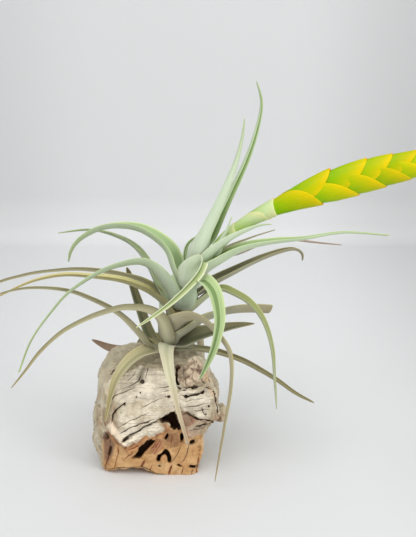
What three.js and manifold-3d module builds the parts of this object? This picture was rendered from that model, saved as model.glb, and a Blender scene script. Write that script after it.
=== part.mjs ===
// A flowering air plant on a chunk of cork bark.
// Millimetres, +Z up, the flower spike toward +X, the viewer on the -Y side.
// The origin is the middle of the cork's flat underside.
import * as THREE from 'three';
import { mergeVertices } from 'three/addons/utils/BufferGeometryUtils.js';
import Module from 'manifold-3d';

const wasm = await Module();
wasm.setup();

// clear space left between neighbouring pieces
const gap = 0.3;
const bractGap = 0.08;

// the woody stem, from the cork up to where the flower stalk starts
const stemFoot = [2, 0, 66];
const stemTop = [21, 0, 126];
const stemFootRadius = 5.5;
const stemTopRadius = 3.4;

// leaves
const leafThickness = 0.9;
const leafSegmentLength = 11;
const fewestLeafSteps = 7;
const mostLeafSteps = 15;
const leafArcSteps = 4;
const leafWallLimit = 1.2;
const leafHollowLimit = 0.05;
const curveTension = 0.5;
const sheathShare = 0.6;
const sheathWrapAngle = 80;
const tailRollAngle = 80;
const tipWidth = 0.8;

// the flower stalk and the spike above it: [x, y, z], half height, half depth of the bracts' envelope
const spikeAxis = [
  { at: [25, 0, 127], high: 3.4, deep: 3.4 },
  { at: [33.5, -1, 138], high: 3.5, deep: 3.5 },
  { at: [41, -2, 146.5], high: 3.5, deep: 3.5 },
  { at: [52.4, -2.5, 155.3], high: 3.9, deep: 3.7 },
  { at: [60.2, -3.3, 160], high: 4.5, deep: 4.1 },
  { at: [69.3, -4.2, 164.4], high: 5.5, deep: 4.5 },
  { at: [81.2, -5, 170.3], high: 7.5, deep: 5.1 },
  { at: [100, -6, 177.5], high: 9.8, deep: 5.7 },
  { at: [119, -7, 183.5], high: 9.8, deep: 5.7 },
  { at: [133.5, -8, 187.5], high: 8.9, deep: 5.3 },
  { at: [147.5, -9, 191], high: 7.7, deep: 4.8 },
  { at: [166.5, -10, 195.5], high: 5.6, deep: 3.7 },
  { at: [183, -11, 199], high: 3.4, deep: 2.7 },
  { at: [192, -11.8, 201.1], high: 1.7, deep: 1.5 },
  { at: [195.6, -12, 202], high: 0.9, deep: 0.9 },
];
const stalkRadius = 1.2;
const stalkEndRadius = 0.6;
const stalkSides = 8;
const stalkSteps = 26;

// bracts: where their tips lie along the spike's axis, their lengths, half the angle that their feet
// wrap, and how blunt they are. rank is 1 above the axis and -1 below it.
const stalkBracts = [
  { tip: 33, rank: 1, blunt: 6 },
  { tip: 53, rank: -1, blunt: 3.5 },
  { tip: 59.5, rank: 1, blunt: 14 },
];
const flowerBractTips = [85, 95, 107, 116, 123.5, 130.5, 138.5, 144, 151, 156, 162, 167];
const stalkBractLength = 28;
const firstBractLength = 34;
const lastBractLength = 24;
const bractThickness = 0.25;
const bractSteps = 7;
const bractArcSteps = 8;
const stalkBractWrap = 160;
const flowerBractWrap = 130;
const flowerBractBlunt = 1.9;
const smallestTipShare = 0.002;
// share of the envelope that a bract fills at its foot and at its tip, and how far the upper row lies inside
const bractFootShare = 0.78;
const bractTipShare = 1.06;
const upperRowInset = 0.05;
const budStart = 154;
const budShare = 0.7;
const budSides = 10;
const budSteps = 6;

// the cork, level by level: height, left, right, front, back
const corkLevels = [
  [0, -37.4, 23.6, -26, 25],
  [3, -39, 24.2, -26.5, 27],
  [10, -41, 24.2, -27.2, 29],
  [20, -42, 24.2, -27.6, 30],
  [26, -42, 25.5, -29, 31],
  [31, -41.5, 31.5, -30, 31],
  [36, -41, 35, -30, 31],
  [42, -40, 34.5, -29.5, 30],
  [50, -39, 31.5, -28, 28.5],
  [58, -38, 28.5, -25, 26],
  [64, -35.5, 26, -20, 24],
  [68.5, -29, 21, -13, 21],
  [70, -13, 11, -5, 8],
];
const corkSides = 36;
const corkSquareness = 0.6;
const corkRoughness = 0.9;
// the waves in the cork's outline: how many go round, and mm of height for a radian's turn
const corkWaves = [
  { count: 5, climb: 6 },
  { count: 9, climb: -4 },
];
// the weathered slab of bark that overhangs the cut face at the front, as x and z
const slabOutline = [
  [-37, 62], [-42, 44], [-40, 34], [-33, 30], [-24, 20], [-15, 24], [-7, 28], [-2, 31], [1, 37],
  [9, 40], [24, 37], [37, 34], [36, 44], [31, 54], [22, 61], [4, 64], [-16, 65],
];
const slabThickness = 9;
const slabFront = -33;
const slabLean = 9;
const slabHinge = 20;
const slabBevelDepth = 1.5;
const slabBevelWidth = 1.2;
// hollows bored into the front: middle, half sizes, turn about Y in degrees
const hollows = [
  { at: [3, -28, 33], half: [6, 8, 2.6], turn: -8 },
  { at: [-9.5, -27, 18], half: [7, 7, 2.4], turn: -48 },
  { at: [1.5, -27, 12.5], half: [3.4, 8, 5], turn: 0 },
  { at: [12, -27, 7], half: [1.4, 5, 3], turn: 12 },
];
const hollowSegments = [12, 8];
const stemSegments = [16, 4];

const mergeDistance = 1e-4;
const leastTurn = 1e-12;
const roughness = { cork: 0.95, leaf: 0.75, stem: 0.75, stalk: 0.6, stalkBract: 0.55, flowerBract: 0.5 };

const colours = {
  silver: 0xb4c6a8,
  green: 0x9ab98a,
  olive: 0x93906d,
  tan: 0xa79c7c,
  cream: 0xd8cfb4,
  dry: 0x9a8272,
  stem: 0x8f8a70,
  stalk: 0x9fb863,
  stalkBract: 0xbfcf9e,
  flowerBract: 0xb2c021,
  cork: 0xbfa17c,
};

// One entry for each leaf, the youngest first. route is the leaf's middle line, facing the compass
// direction in degrees that its back looks at (0 is +X, 90 is +Y), width the flat width of its blade
// and sheath that of its clasping foot; fold is half the channel's angle, taper shapes the width,
// clasp is the share of the length that the foot takes, roll turns the channel about the route.
const leaves = [
  {
    name: 'leaf_tall_back', colour: 'green', facing: 140, width: 17, sheath: 18, fold: 75, taper: 0.75,
    route: [[21, 5, 121], [28, 7, 137], [37, 9, 157.5], [50, 12, 185.5], [57.5, 14, 207.5],
      [60, 14, 222.5], [57, 13, 235]],
  },
  {
    name: 'leaf_tall_front', colour: 'silver', facing: 262, width: 11.5, sheath: 24, fold: 50, taper: 0.9,
    clasp: 0.3,
    route: [[18.5, -5, 124.5], [23, -8, 139], [29.5, -7, 153.5], [37, -5, 169.5], [44.5, -2, 188.5],
      [48.5, 0, 204], [50, 2, 215]],
  },
  {
    name: 'leaf_young', colour: 'silver', facing: 230, width: 11, sheath: 8, fold: 60, taper: 1.6,
    route: [[32.5, -5, 132.5], [36, -7, 143], [40, -7, 151.5], [43, -6, 159]],
  },
  {
    name: 'leaf_inner_left', colour: 'silver', facing: 150, width: 10, sheath: 12, fold: 60,
    route: [[16.5, 4, 119], [14.5, 6, 129.5], [16, 9, 137.5], [22, 12, 142]],
  },
  {
    name: 'leaf_upper_right_short', colour: 'silver', facing: 300, width: 14, sheath: 20, fold: 60,
    taper: 0.9,
    route: [[23, -5, 124.5], [29.5, -8, 135.5], [39.5, -11, 145.5], [51.5, -14, 153], [59.5, -16, 156.5],
      [65.5, -18, 157.5]],
  },
  {
    name: 'leaf_upper_right_long', colour: 'green', facing: 335, roll: -6, width: 28, sheath: 26, fold: 65,
    taper: 1.6, tip: 2,
    route: [[24, -2, 118.5], [33, -5, 130], [46.5, -8, 139.5], [64, -11, 145], [85, -15, 148.5],
      [107.5, -18, 152.5], [132.5, -22, 152]],
  },
  {
    name: 'leaf_back_right', colour: 'olive', facing: 45, width: 6, sheath: 12, fold: 65, taper: 1.2,
    route: [[24, 5, 121], [38, 14, 132.5], [55, 26, 136.5], [71.5, 40, 138]],
  },
  {
    name: 'leaf_right_dried', colour: 'dry', facing: 25, width: 8, sheath: 14, fold: 70,
    route: [[24, 3, 121], [36, 7, 129], [48, 10, 132], [57.5, 16, 134.4], [66, 22, 135.6],
      [80.5, 32, 133.6], [93.5, 38, 130.6], [115, 46, 126]],
  },
  {
    name: 'leaf_back_upper', colour: 'green', facing: 80, width: 15, sheath: 18, fold: 62,
    route: [[18, 6, 114], [21, 16, 125], [24, 34, 128], [26, 56, 118], [27, 72, 99], [27, 80, 77]],
  },
  {
    name: 'leaf_left_arch', colour: 'green', facing: 172, roll: 6, width: 26, sheath: 28, fold: 68,
    taper: 0.75,
    route: [[12.5, 2, 109.5], [10, 3, 123], [6, 6, 135], [-2.5, 10, 142], [-13, 14, 146.5], [-24.5, 18, 147],
      [-35, 21, 145], [-44.5, 23, 140.5], [-52, 24, 135], [-56.5, 24.5, 128.5], [-58.5, 25, 121]],
  },
  {
    name: 'leaf_front_narrow', colour: 'silver', facing: 255, width: 11, sheath: 26, fold: 74, taper: 0.75,
    clasp: 0.36,
    route: [[14.5, -9, 114.5], [19.5, -12, 129], [26, -16, 135.5], [24, -24, 130.5], [15, -34, 123],
      [3.5, -44, 115.5], [-11, -54, 108]],
  },
  {
    name: 'leaf_right_olive', colour: 'olive', facing: 5, roll: 3, width: 20, sheath: 22, fold: 60,
    taper: 0.7,
    route: [[21.5, 1, 106], [30, 2, 114.5], [43.5, 5, 121], [56.5, 8, 127], [70, 11, 131.5], [81.5, 14, 133],
      [86.5, 15, 129.5], [86.5, 15, 125]],
  },
  {
    name: 'leaf_left_back', colour: 'silver', facing: 150, roll: -12, width: 13, sheath: 18, fold: 65,
    route: [[6.5, 5, 99], [-0.5, 8, 110], [-7, 14, 122], [-15, 20, 132], [-26.5, 27, 137], [-44.5, 36, 139],
      [-67.5, 46, 134]],
  },
  {
    name: 'leaf_left_silver', colour: 'silver', facing: 195, roll: -35, width: 20, sheath: 24, fold: 68,
    taper: 1.7, clasp: 0.15, tip: 2,
    route: [[7, -3, 101], [4.5, -6, 116], [-2.5, -9, 127.5], [-10.5, -12, 133], [-22, -16, 132.5],
      [-34.5, -19, 129], [-51, -22, 119.5], [-62.5, -25, 107], [-74.5, -28, 90], [-82.5, -30, 70.5]],
  },
  {
    name: 'leaf_front_droop', colour: 'green', facing: 285, roll: -28, width: 17, sheath: 28, fold: 66,
    taper: 0.62,
    route: [[14.5, -8, 100], [18, -14, 115], [24.5, -22, 125.5], [31, -30, 123], [34, -34, 115.5],
      [35, -37, 104.5], [32.5, -39, 91.5], [28.5, -39.5, 81], [23.5, -39, 69.5]],
  },
  {
    name: 'leaf_back_middle', colour: 'silver', facing: 100, width: 14, sheath: 18, fold: 62,
    route: [[10, 8, 97], [8, 22, 108], [4, 42, 107], [0, 60, 95], [-3, 74, 75], [-4, 80, 53]],
  },
  {
    name: 'leaf_right_arch', colour: 'olive', facing: 345, width: 14, sheath: 22, fold: 65, clasp: 0.12,
    route: [[16.5, -3, 95.5], [25, -4, 107], [35.5, -6, 114.5], [44.5, -9, 112.5], [54, -12, 107],
      [62, -14, 96.5], [67, -16, 81], [69, -17, 60.5], [70.5, -18, 42.5]],
  },
  {
    name: 'leaf_left_olive', colour: 'olive', facing: 172, roll: -10, width: 12, sheath: 20, fold: 65,
    taper: 0.7, clasp: 0.12,
    route: [[3, 2, 96.5], [-1.5, 3, 109.5], [-9, 5, 115], [-20.5, 8, 118], [-36, 11, 120], [-55.5, 15, 120],
      [-75, 19, 117], [-88.5, 22, 113], [-102, 25, 108], [-125.5, 28, 97]],
  },
  {
    name: 'leaf_left_golden', colour: 'tan', facing: 187, roll: -10, width: 18, sheath: 22, fold: 65,
    taper: 1.1, clasp: 0.12,
    route: [[7, 0, 90.5], [3, -2, 103.5], [-5, -4, 111.5], [-13.5, -6, 116.5], [-23.5, -8, 120.5],
      [-39.5, -10, 123.5], [-55, -12, 125.5], [-69, -15, 124], [-81, -17, 120], [-100, -20, 111]],
  },
  {
    name: 'leaf_back_long', colour: 'olive', facing: 85, width: 12, sheath: 16, fold: 65,
    route: [[8, 5.5, 86], [10, 19, 99], [11, 40, 104], [11, 62, 96], [10, 80, 80], [9, 92, 60], [8, 98, 38]],
  },
  {
    name: 'leaf_right_cut', colour: 'olive', facing: 12, roll: 15, width: 20, sheath: 16, fold: 60,
    blunt: 0.8,
    route: [[6, -7.5, 77.5], [10.5, -7, 84.2], [18, -3, 89.5], [27, 2, 93], [39.3, 8, 94.6],
      [54, 14, 94], [67.2, 19.4, 91.7]],
  },
  {
    name: 'leaf_right_tan', colour: 'tan', facing: 320, roll: 38, width: 16, sheath: 24, fold: 60, taper: 0.9,
    clasp: 0.15,
    route: [[6.5, -6.5, 81], [6.2, -9, 89], [8.6, -11.5, 94.6], [14, -15, 98.8], [21, -19, 101.2],
      [28.5, -24.5, 99.8], [35.4, -30, 94.5], [41, -35, 87], [42.5, -38, 77], [41.5, -40, 62],
      [38.5, -41, 42], [36, -41, 25.5], [33, -41, 4]],
  },
  {
    name: 'leaf_left_lower', colour: 'olive', facing: 210, roll: -20, width: 16, sheath: 15, fold: 65,
    taper: 0.7, clasp: 0.17,
    route: [[3.5, -8, 78.5], [3, -11, 87.5], [1.5, -12.5, 95.5], [-2, -14.5, 101.5],
      [-9, -17, 105.8], [-17, -20.5, 108], [-25, -24, 108.5], [-39.5, -29, 105],
      [-55.5, -34, 97.5], [-68, -38, 87], [-77, -41, 76], [-85, -43, 66.5]],
  },
  {
    name: 'leaf_back_upright', colour: 'olive', facing: 140, width: 15, sheath: 16, fold: 60, taper: 0.35,
    route: [[-4, 7, 72], [-8, 12, 80.5], [-12.5, 17, 93], [-17.5, 21, 106.5], [-21.5, 23, 118.5]],
  },
  {
    name: 'leaf_right_low_olive', colour: 'olive', facing: 345, roll: -24, width: 23, sheath: 18, fold: 60,
    route: [[7.5, -4, 75.5], [16.5, -6, 81.5], [29, -9, 87.5], [43, -13, 92.5], [56.5, -17, 96]],
  },
  {
    name: 'leaf_back_right_low', colour: 'tan', facing: 60, width: 13, sheath: 16, fold: 60,
    route: [[8, 7, 77], [13, 19, 83], [19, 35, 77], [23, 49, 58], [25, 57, 36], [26, 60, 17]],
  },
  {
    name: 'leaf_left_low', colour: 'olive', facing: 200, roll: -5, width: 18, sheath: 18, fold: 65,
    taper: 1.2,
    route: [[-3.5, -4, 72], [-9, -7, 80], [-15, -10, 90.5], [-24.5, -13, 101.5], [-39.5, -16, 111.5],
      [-54, -19, 118], [-74.5, -22, 120.5], [-91.5, -25, 118], [-106, -27, 112]],
  },
  {
    name: 'leaf_back_left_low', colour: 'tan', facing: 115, width: 13, sheath: 14, fold: 60,
    route: [[-2, 8, 73.5], [-6, 17, 75], [-14, 32, 64], [-20, 43, 44], [-23, 49, 22]],
  },
  {
    name: 'leaf_right_low', colour: 'olive', facing: 350, roll: 10, width: 12, sheath: 14, fold: 65,
    taper: 0.5,
    route: [[8.5, -1, 72.5], [18, -3, 74.5], [32, -6, 74], [48, -10, 70], [61.5, -14, 63.5], [71.5, -17, 58],
      [82, -20, 51.5], [93, -23, 47.5]],
  },
  {
    name: 'leaf_cork_left', colour: 'tan', facing: 215, width: 17, sheath: 16, fold: 45, taper: 0.9,
    route: [[-1, -7, 77.5], [-5.5, -14, 78], [-12.5, -20, 77.5], [-19, -26, 74], [-24.5, -30, 67.5],
      [-28, -32, 58.5], [-32.5, -33, 39.5]],
  },
  {
    name: 'leaf_cork_front', colour: 'cream', facing: 268, width: 13, sheath: 13, fold: 38, taper: 1.5,
    clasp: 0.16, tip: 2.4,
    route: [[5, -7, 78], [4.2, -13, 80.5], [4, -20, 80.3], [4.8, -27, 78], [6, -32, 72.3],
      [7.9, -35, 64.8], [10.6, -36.5, 52.7], [13.6, -37.2, 40], [16.9, -37, 26.6]],
  },
  {
    name: 'leaf_back_dry', colour: 'dry', facing: 150, roll: 20, width: 16, sheath: 16, fold: 55, taper: 0.6,
    route: [[-9, 12, 70.5], [-19, 20, 66.5], [-29.5, 27, 63], [-37.5, 31, 62], [-47, 35, 65]],
  },
];

const radians = THREE.MathUtils.degToRad;
const mix = THREE.MathUtils.lerp;

function vector(values) {
  return new THREE.Vector3(...values);
}

// closes a grid of points, rows of equal length that each go round a section, into one shell
function shellFromRings(rings, capPairs) {
  const round = rings[0].length;
  const positions = rings.flat().flatMap((point) => [point.x, point.y, point.z]);
  const indices = [];
  for (let i = 0; i < rings.length - 1; i += 1) {
    for (let j = 0; j < round; j += 1) {
      const a = i * round + j;
      const b = i * round + (j + 1) % round;
      indices.push(a, b, b + round, a, b + round, a + round);
    }
  }
  const last = (rings.length - 1) * round;
  for (const [a, b, c, d] of capPairs) {
    indices.push(a, c, b, a, d, c);
    indices.push(last + a, last + b, last + c, last + a, last + c, last + d);
  }
  return { positions, indices };
}

// the four corners of each strip of a channel section's end, for rings that go out and back
function channelCaps(steps) {
  const corners = [];
  for (let j = 0; j < steps; j += 1) {
    corners.push([j, j + 1, 2 * steps - j, 2 * steps + 1 - j]);
  }
  return corners;
}

// the same for rings that go once round
function roundCaps(sides) {
  const corners = [];
  for (let j = 0; j < sides / 2 - 1; j += 1) {
    corners.push([j, j + 1, sides - 2 - j, sides - 1 - j]);
  }
  return corners;
}

function roundRing(sides, place) {
  return Array.from({ length: sides }, (unused, j) => place(2 * Math.PI * j / sides));
}

// a channel's section, out along its outer side (1) and back along its inner side (-1)
function channelRing(steps, place) {
  const outer = Array.from({ length: steps + 1 }, (unused, j) => place(2 * j / steps - 1, 1));
  const inner = Array.from({ length: steps + 1 }, (unused, j) => place(1 - 2 * j / steps, -1));
  return [...outer, ...inner];
}

function smoothCurve(places) {
  return new THREE.CatmullRomCurve3(places.map(vector), false, 'catmullrom', curveTension);
}

function solidFromShell({ positions, indices }) {
  const make = (triVerts) => new wasm.Manifold(new wasm.Mesh({
    numProp: 3,
    vertProperties: new Float32Array(positions),
    triVerts: new Uint32Array(triVerts),
  }));
  const solid = make(indices);
  if (solid.volume() > 0) {
    return solid;
  }
  const turned = [];
  for (let i = 0; i < indices.length; i += 3) {
    turned.push(indices[i], indices[i + 2], indices[i + 1]);
  }
  return make(turned);
}

function solidFromGeometry(geometry) {
  const bare = geometry.clone();
  bare.deleteAttribute('normal');
  bare.deleteAttribute('uv');
  const merged = mergeVertices(bare, mergeDistance);
  const positions = [...merged.attributes.position.array];
  return solidFromShell({ positions, indices: [...merged.index.array] });
}

function geometryFromSolid(solid) {
  const mesh = solid.getMesh();
  const geometry = new THREE.BufferGeometry();
  geometry.setAttribute('position', new THREE.BufferAttribute(mesh.vertProperties, mesh.numProp));
  geometry.setIndex(new THREE.BufferAttribute(mesh.triVerts, 1));
  geometry.computeVertexNormals();
  return geometry;
}

function largestBody(solid) {
  const bodies = solid.decompose();
  bodies.sort((a, b) => b.volume() - a.volume());
  return bodies[0];
}

// a direction mirrored in the plane that a normal stands on
function mirroredIn(normal, direction) {
  return direction.clone().addScaledVector(normal, -2 * normal.dot(direction) / normal.lengthSq());
}

// the curve's frame at each point: along it, across the leaf, and toward the leaf's inner face
function leafFrames(points, facing, roll) {
  const count = points.length;
  const along = points.map((point, i) => {
    const next = points[Math.min(i + 1, count - 1)];
    const before = points[Math.max(i - 1, 0)];
    return next.clone().sub(before).normalize();
  });
  const back = new THREE.Vector3(Math.cos(radians(facing)), Math.sin(radians(facing)), 0);
  const across = [back.cross(new THREE.Vector3(0, 0, 1))];
  across[0].addScaledVector(along[0], -across[0].dot(along[0])).normalize();
  for (let i = 1; i < count; i += 1) {
    const step = points[i].clone().sub(points[i - 1]);
    const carried = mirroredIn(step, across[i - 1]);
    const turn = along[i].clone().sub(mirroredIn(step, along[i - 1]));
    if (turn.lengthSq() > leastTurn) {
      carried.copy(mirroredIn(turn, carried));
    }
    across.push(carried.addScaledVector(along[i], -carried.dot(along[i])).normalize());
  }
  return points.map((point, i) => {
    const turned = across[i].clone().applyAxisAngle(along[i], -radians(roll));
    return { across: turned, inward: turned.clone().cross(along[i]) };
  });
}

// one leaf: a channel that clasps the stem at its foot and rolls up toward its tip
function leafSolid(leaf, grow) {
  const { facing, width, sheath, fold, taper = 0.8, clasp = 0.2, tip = tipWidth, roll = 0, blunt = 0 } = leaf;
  const curve = smoothCurve(leaf.route);
  const wanted = Math.round(curve.getLength() / leafSegmentLength);
  const steps = THREE.MathUtils.clamp(wanted, fewestLeafSteps, mostLeafSteps);
  const points = curve.getSpacedPoints(steps);
  const frames = leafFrames(points, facing, roll);
  const rings = points.map((point, i) => {
    const share = i / steps;
    const foot = 1 - THREE.MathUtils.smoothstep(share, 0, clasp);
    const tail = THREE.MathUtils.smoothstep(share, 0.5, 1);
    const blade = blunt ? width * mix(1, blunt, share) : width * (1 - share) ** taper + tip * tail;
    const flat = blade + (sheath * sheathShare - width) * foot + 2 * grow;
    const halfAngle = radians(fold + (sheathWrapAngle - fold) * foot + (tailRollAngle - fold) * tail);
    const radius = flat / (2 * halfAngle);
    const wall = Math.min(leafThickness, leafWallLimit * radius) + 2 * grow;
    const sink = radius * (1 - Math.cos(halfAngle)) / 2;
    const { across, inward } = frames[i];
    return channelRing(leafArcSteps, (turn, side) => {
      const angle = halfAngle * turn;
      const reach = Math.max(radius + side * wall / 2, leafHollowLimit);
      return point.clone()
        .addScaledVector(inward, radius - reach * Math.cos(angle) - sink)
        .addScaledVector(across, reach * Math.sin(angle));
    });
  });
  return solidFromShell(shellFromRings(rings, channelCaps(leafArcSteps)));
}

// the spike's axis as a curve, with the envelope's half sizes at a length along it
const axisCurve = smoothCurve(spikeAxis.map((row) => row.at));
const axisLength = axisCurve.getLength();

function spikeAt(length) {
  const share = Math.min(length / axisLength, 1);
  const along = axisCurve.getTangentAt(share);
  const side = new THREE.Vector3(0, -1, 0).addScaledVector(along, along.y).normalize();
  const row = axisCurve.getUtoTmapping(share) * (spikeAxis.length - 1);
  const low = Math.min(Math.floor(row), spikeAxis.length - 2);
  return {
    centre: axisCurve.getPointAt(share),
    side,
    up: side.clone().cross(along).normalize(),
    high: mix(spikeAxis[low].high, spikeAxis[low + 1].high, row - low),
    deep: mix(spikeAxis[low].deep, spikeAxis[low + 1].deep, row - low),
  };
}

// one bract: its foot wraps the axis inside the envelope, its tip lies on the envelope's edge
function bractSolid({ tip, length, rank, wrap, blunt }, grow) {
  const rings = [];
  for (let i = 0; i <= bractSteps; i += 1) {
    const share = i / bractSteps;
    const { centre, side, up, high, deep } = spikeAt(tip - length * (1 - share));
    const fill = mix(bractFootShare, bractTipShare, share) - (rank > 0 ? upperRowInset : 0);
    const halfAngle = radians(wrap) * Math.sqrt(Math.max(1 - share ** blunt, smallestTipShare));
    rings.push(channelRing(bractArcSteps, (turn, face) => {
      const angle = halfAngle * turn;
      const wall = face * (bractThickness / 2 + grow);
      return centre.clone()
        .addScaledVector(up, rank * (high * fill + wall) * Math.cos(angle))
        .addScaledVector(side, (deep * fill + wall) * Math.sin(angle));
    }));
  }
  return solidFromShell(shellFromRings(rings, channelCaps(bractArcSteps)));
}

// the closed bud at the end of the spike
function budSolid() {
  const rings = [];
  for (let i = 0; i <= budSteps; i += 1) {
    const { centre, side, up, high, deep } = spikeAt(mix(budStart, axisLength, i / budSteps));
    const share = mix(budShare, 1, (i / budSteps) ** 2);
    rings.push(roundRing(budSides, (angle) => centre.clone()
      .addScaledVector(up, high * share * Math.cos(angle))
      .addScaledVector(side, deep * share * Math.sin(angle))));
  }
  return solidFromShell(shellFromRings(rings, roundCaps(budSides)));
}

function stemSolid(grow) {
  const foot = vector(stemFoot);
  const rise = vector(stemTop).sub(foot);
  const height = rise.length();
  const turn = new THREE.Quaternion().setFromUnitVectors(new THREE.Vector3(0, 0, 1), rise.normalize());
  const radii = [stemTopRadius + grow, stemFootRadius + grow];
  const geometry = new THREE.CylinderGeometry(...radii, height + 2 * grow, ...stemSegments);
  geometry.rotateX(Math.PI / 2);
  geometry.applyQuaternion(turn);
  geometry.translate(...foot.addScaledVector(rise, height / 2).toArray());
  return solidFromGeometry(geometry);
}

// the flower stalk runs on inside the spike, ending just short of the bud
function stalkSolid(grow) {
  const rings = [];
  for (let i = 0; i <= stalkSteps; i += 1) {
    const { centre, side, up } = spikeAt(mix(0, budStart - 2 * gap, i / stalkSteps));
    const radius = mix(stalkRadius, stalkEndRadius, i / stalkSteps) + grow;
    rings.push(roundRing(stalkSides, (angle) => centre.clone()
      .addScaledVector(up, radius * Math.cos(angle))
      .addScaledVector(side, radius * Math.sin(angle))));
  }
  return solidFromShell(shellFromRings(rings, roundCaps(stalkSides)));
}

function corkBody(grow) {
  const squared = (value) => Math.sign(value) * Math.abs(value) ** corkSquareness;
  const rings = corkLevels.map(([height, left, right, front, back]) => roundRing(corkSides, (angle) => {
    const waves = corkWaves.map(({ count, climb }) => Math.sin(count * angle + height / climb));
    const bump = grow + corkRoughness * (waves[0] + waves[1]) / 2;
    return new THREE.Vector3(
      (left + right) / 2 + ((right - left) / 2 + bump) * squared(Math.cos(angle)),
      (front + back) / 2 + ((back - front) / 2 + bump) * squared(Math.sin(angle)),
      height + (height > 0 ? grow : -grow),
    );
  }));
  return solidFromShell(shellFromRings(rings, roundCaps(corkSides)));
}

function corkSlab(grow) {
  const outline = new THREE.Shape(slabOutline.map(([x, z]) => new THREE.Vector2(x, z)));
  const geometry = new THREE.ExtrudeGeometry(outline, {
    depth: slabThickness,
    bevelEnabled: true,
    bevelThickness: slabBevelDepth + grow,
    bevelSize: slabBevelWidth + grow,
    bevelSegments: 1,
  });
  geometry.rotateX(Math.PI / 2);
  geometry.translate(0, slabFront + slabThickness, -slabHinge);
  geometry.rotateX(-radians(slabLean));
  geometry.translate(0, 0, slabHinge);
  return solidFromGeometry(geometry);
}

function corkSolid() {
  let solid = corkBody(0).add(corkSlab(0));
  for (const { at, half, turn } of hollows) {
    const hollow = new THREE.SphereGeometry(1, ...hollowSegments);
    hollow.scale(...half);
    hollow.rotateY(radians(turn));
    hollow.translate(...at);
    solid = solid.subtract(solidFromGeometry(hollow));
  }
  return largestBody(solid);
}

const group = new THREE.Group();

function addPiece(name, colour, solid, rough) {
  const material = new THREE.MeshStandardMaterial({ color: colour, roughness: rough, metalness: 0 });
  const mesh = new THREE.Mesh(geometryFromSolid(solid), material);
  mesh.name = name;
  group.add(mesh);
}

addPiece('cork_bark', colours.cork, corkSolid(), roughness.cork);
const grownCork = corkBody(gap).add(corkSlab(gap));

addPiece('stem', colours.stem, largestBody(stemSolid(0).subtract(grownCork)), roughness.stem);
let taken = grownCork.add(stemSolid(gap));

const stalk = largestBody(stalkSolid(0).subtract(stemSolid(gap)));
addPiece('flower_stalk', colours.stalk, stalk, roughness.stalk);

let wrapped = stemSolid(gap).add(stalkSolid(0));

function addBract(name, kind, bract) {
  const solid = largestBody(bractSolid(bract, 0).subtract(wrapped));
  addPiece(name, colours[kind], solid, roughness[kind]);
  wrapped = wrapped.add(bractSolid(bract, bractGap));
}

stalkBracts.forEach((bract, i) => {
  const shape = { ...bract, length: stalkBractLength, wrap: stalkBractWrap };
  addBract(`stalk_bract_${i + 1}`, 'stalkBract', shape);
});
flowerBractTips.forEach((tip, i) => {
  const length = mix(firstBractLength, lastBractLength, i / (flowerBractTips.length - 1));
  const shape = { tip, length, rank: i % 2 ? 1 : -1, wrap: flowerBractWrap, blunt: flowerBractBlunt };
  addBract(`flower_bract_${i + 1}`, 'flowerBract', shape);
});
const bud = largestBody(budSolid().subtract(wrapped));
addPiece('flower_bud', colours.flowerBract, bud, roughness.flowerBract);
taken = taken.add(wrapped).add(stalkSolid(gap));

for (const leaf of leaves) {
  const solid = largestBody(leafSolid(leaf, 0).subtract(taken));
  addPiece(leaf.name, colours[leaf.colour], solid, roughness.leaf);
  taken = taken.add(leafSolid(leaf, gap));
}

export default group;
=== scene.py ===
import math
import random

import bmesh
import bpy
import numpy as np
from mathutils import Matrix, Vector, noise


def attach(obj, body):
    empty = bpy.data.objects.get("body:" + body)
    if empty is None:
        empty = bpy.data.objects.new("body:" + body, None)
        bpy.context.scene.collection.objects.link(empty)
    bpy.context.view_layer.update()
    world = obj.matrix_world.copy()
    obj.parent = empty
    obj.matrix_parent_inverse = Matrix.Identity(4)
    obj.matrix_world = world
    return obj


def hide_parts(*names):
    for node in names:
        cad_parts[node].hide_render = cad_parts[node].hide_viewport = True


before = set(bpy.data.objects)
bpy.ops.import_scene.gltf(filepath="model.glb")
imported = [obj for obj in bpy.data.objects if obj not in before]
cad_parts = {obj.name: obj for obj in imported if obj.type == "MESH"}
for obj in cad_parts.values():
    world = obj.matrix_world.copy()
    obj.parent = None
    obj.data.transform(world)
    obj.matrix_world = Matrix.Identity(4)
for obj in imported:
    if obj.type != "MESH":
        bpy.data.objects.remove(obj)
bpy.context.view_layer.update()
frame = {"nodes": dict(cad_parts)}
mm = 0.001
print("frame loaded")


# small helpers

def smooth(low, high, value):
    share = min(max((value - low) / (high - low), 0.0), 1.0)
    return share * share * (3 - 2 * share)


def mix(start, end, share):
    return start + (end - start) * share


def tone(red, green, blue):
    # a screen colour, 0 to 255, as the linear colour that the nodes take
    def linear(value):
        value /= 255
        return value / 12.92 if value <= 0.04045 else ((value + 0.055) / 1.055) ** 2.4
    return (linear(red), linear(green), linear(blue), 1)


def curveEnds(points):
    # the points with one more at each end, so that a curve can run through all of them
    return [points[0] * 2 - points[1], *points, points[-1] * 2 - points[-2]]


def curvePoint(before, start, end, after, t):
    handles = start + (end - before) / 6, end - (after - start) / 6
    s = 1 - t
    return start * s ** 3 + handles[0] * 3 * s * s * t + handles[1] * 3 * s * t * t + end * t ** 3


def addRounding(piece):
    rounded = piece.modifiers.new("rounding", "SUBSURF")
    rounded.levels = rounded.render_levels = 1


def smoothTube(bm):
    # outward faces, smooth along the wall and flat over the two ends
    bmesh.ops.recalc_face_normals(bm, faces=bm.faces)
    for face in bm.faces:
        face.smooth = len(face.verts) == 4


# camera, backdrop and light

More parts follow.
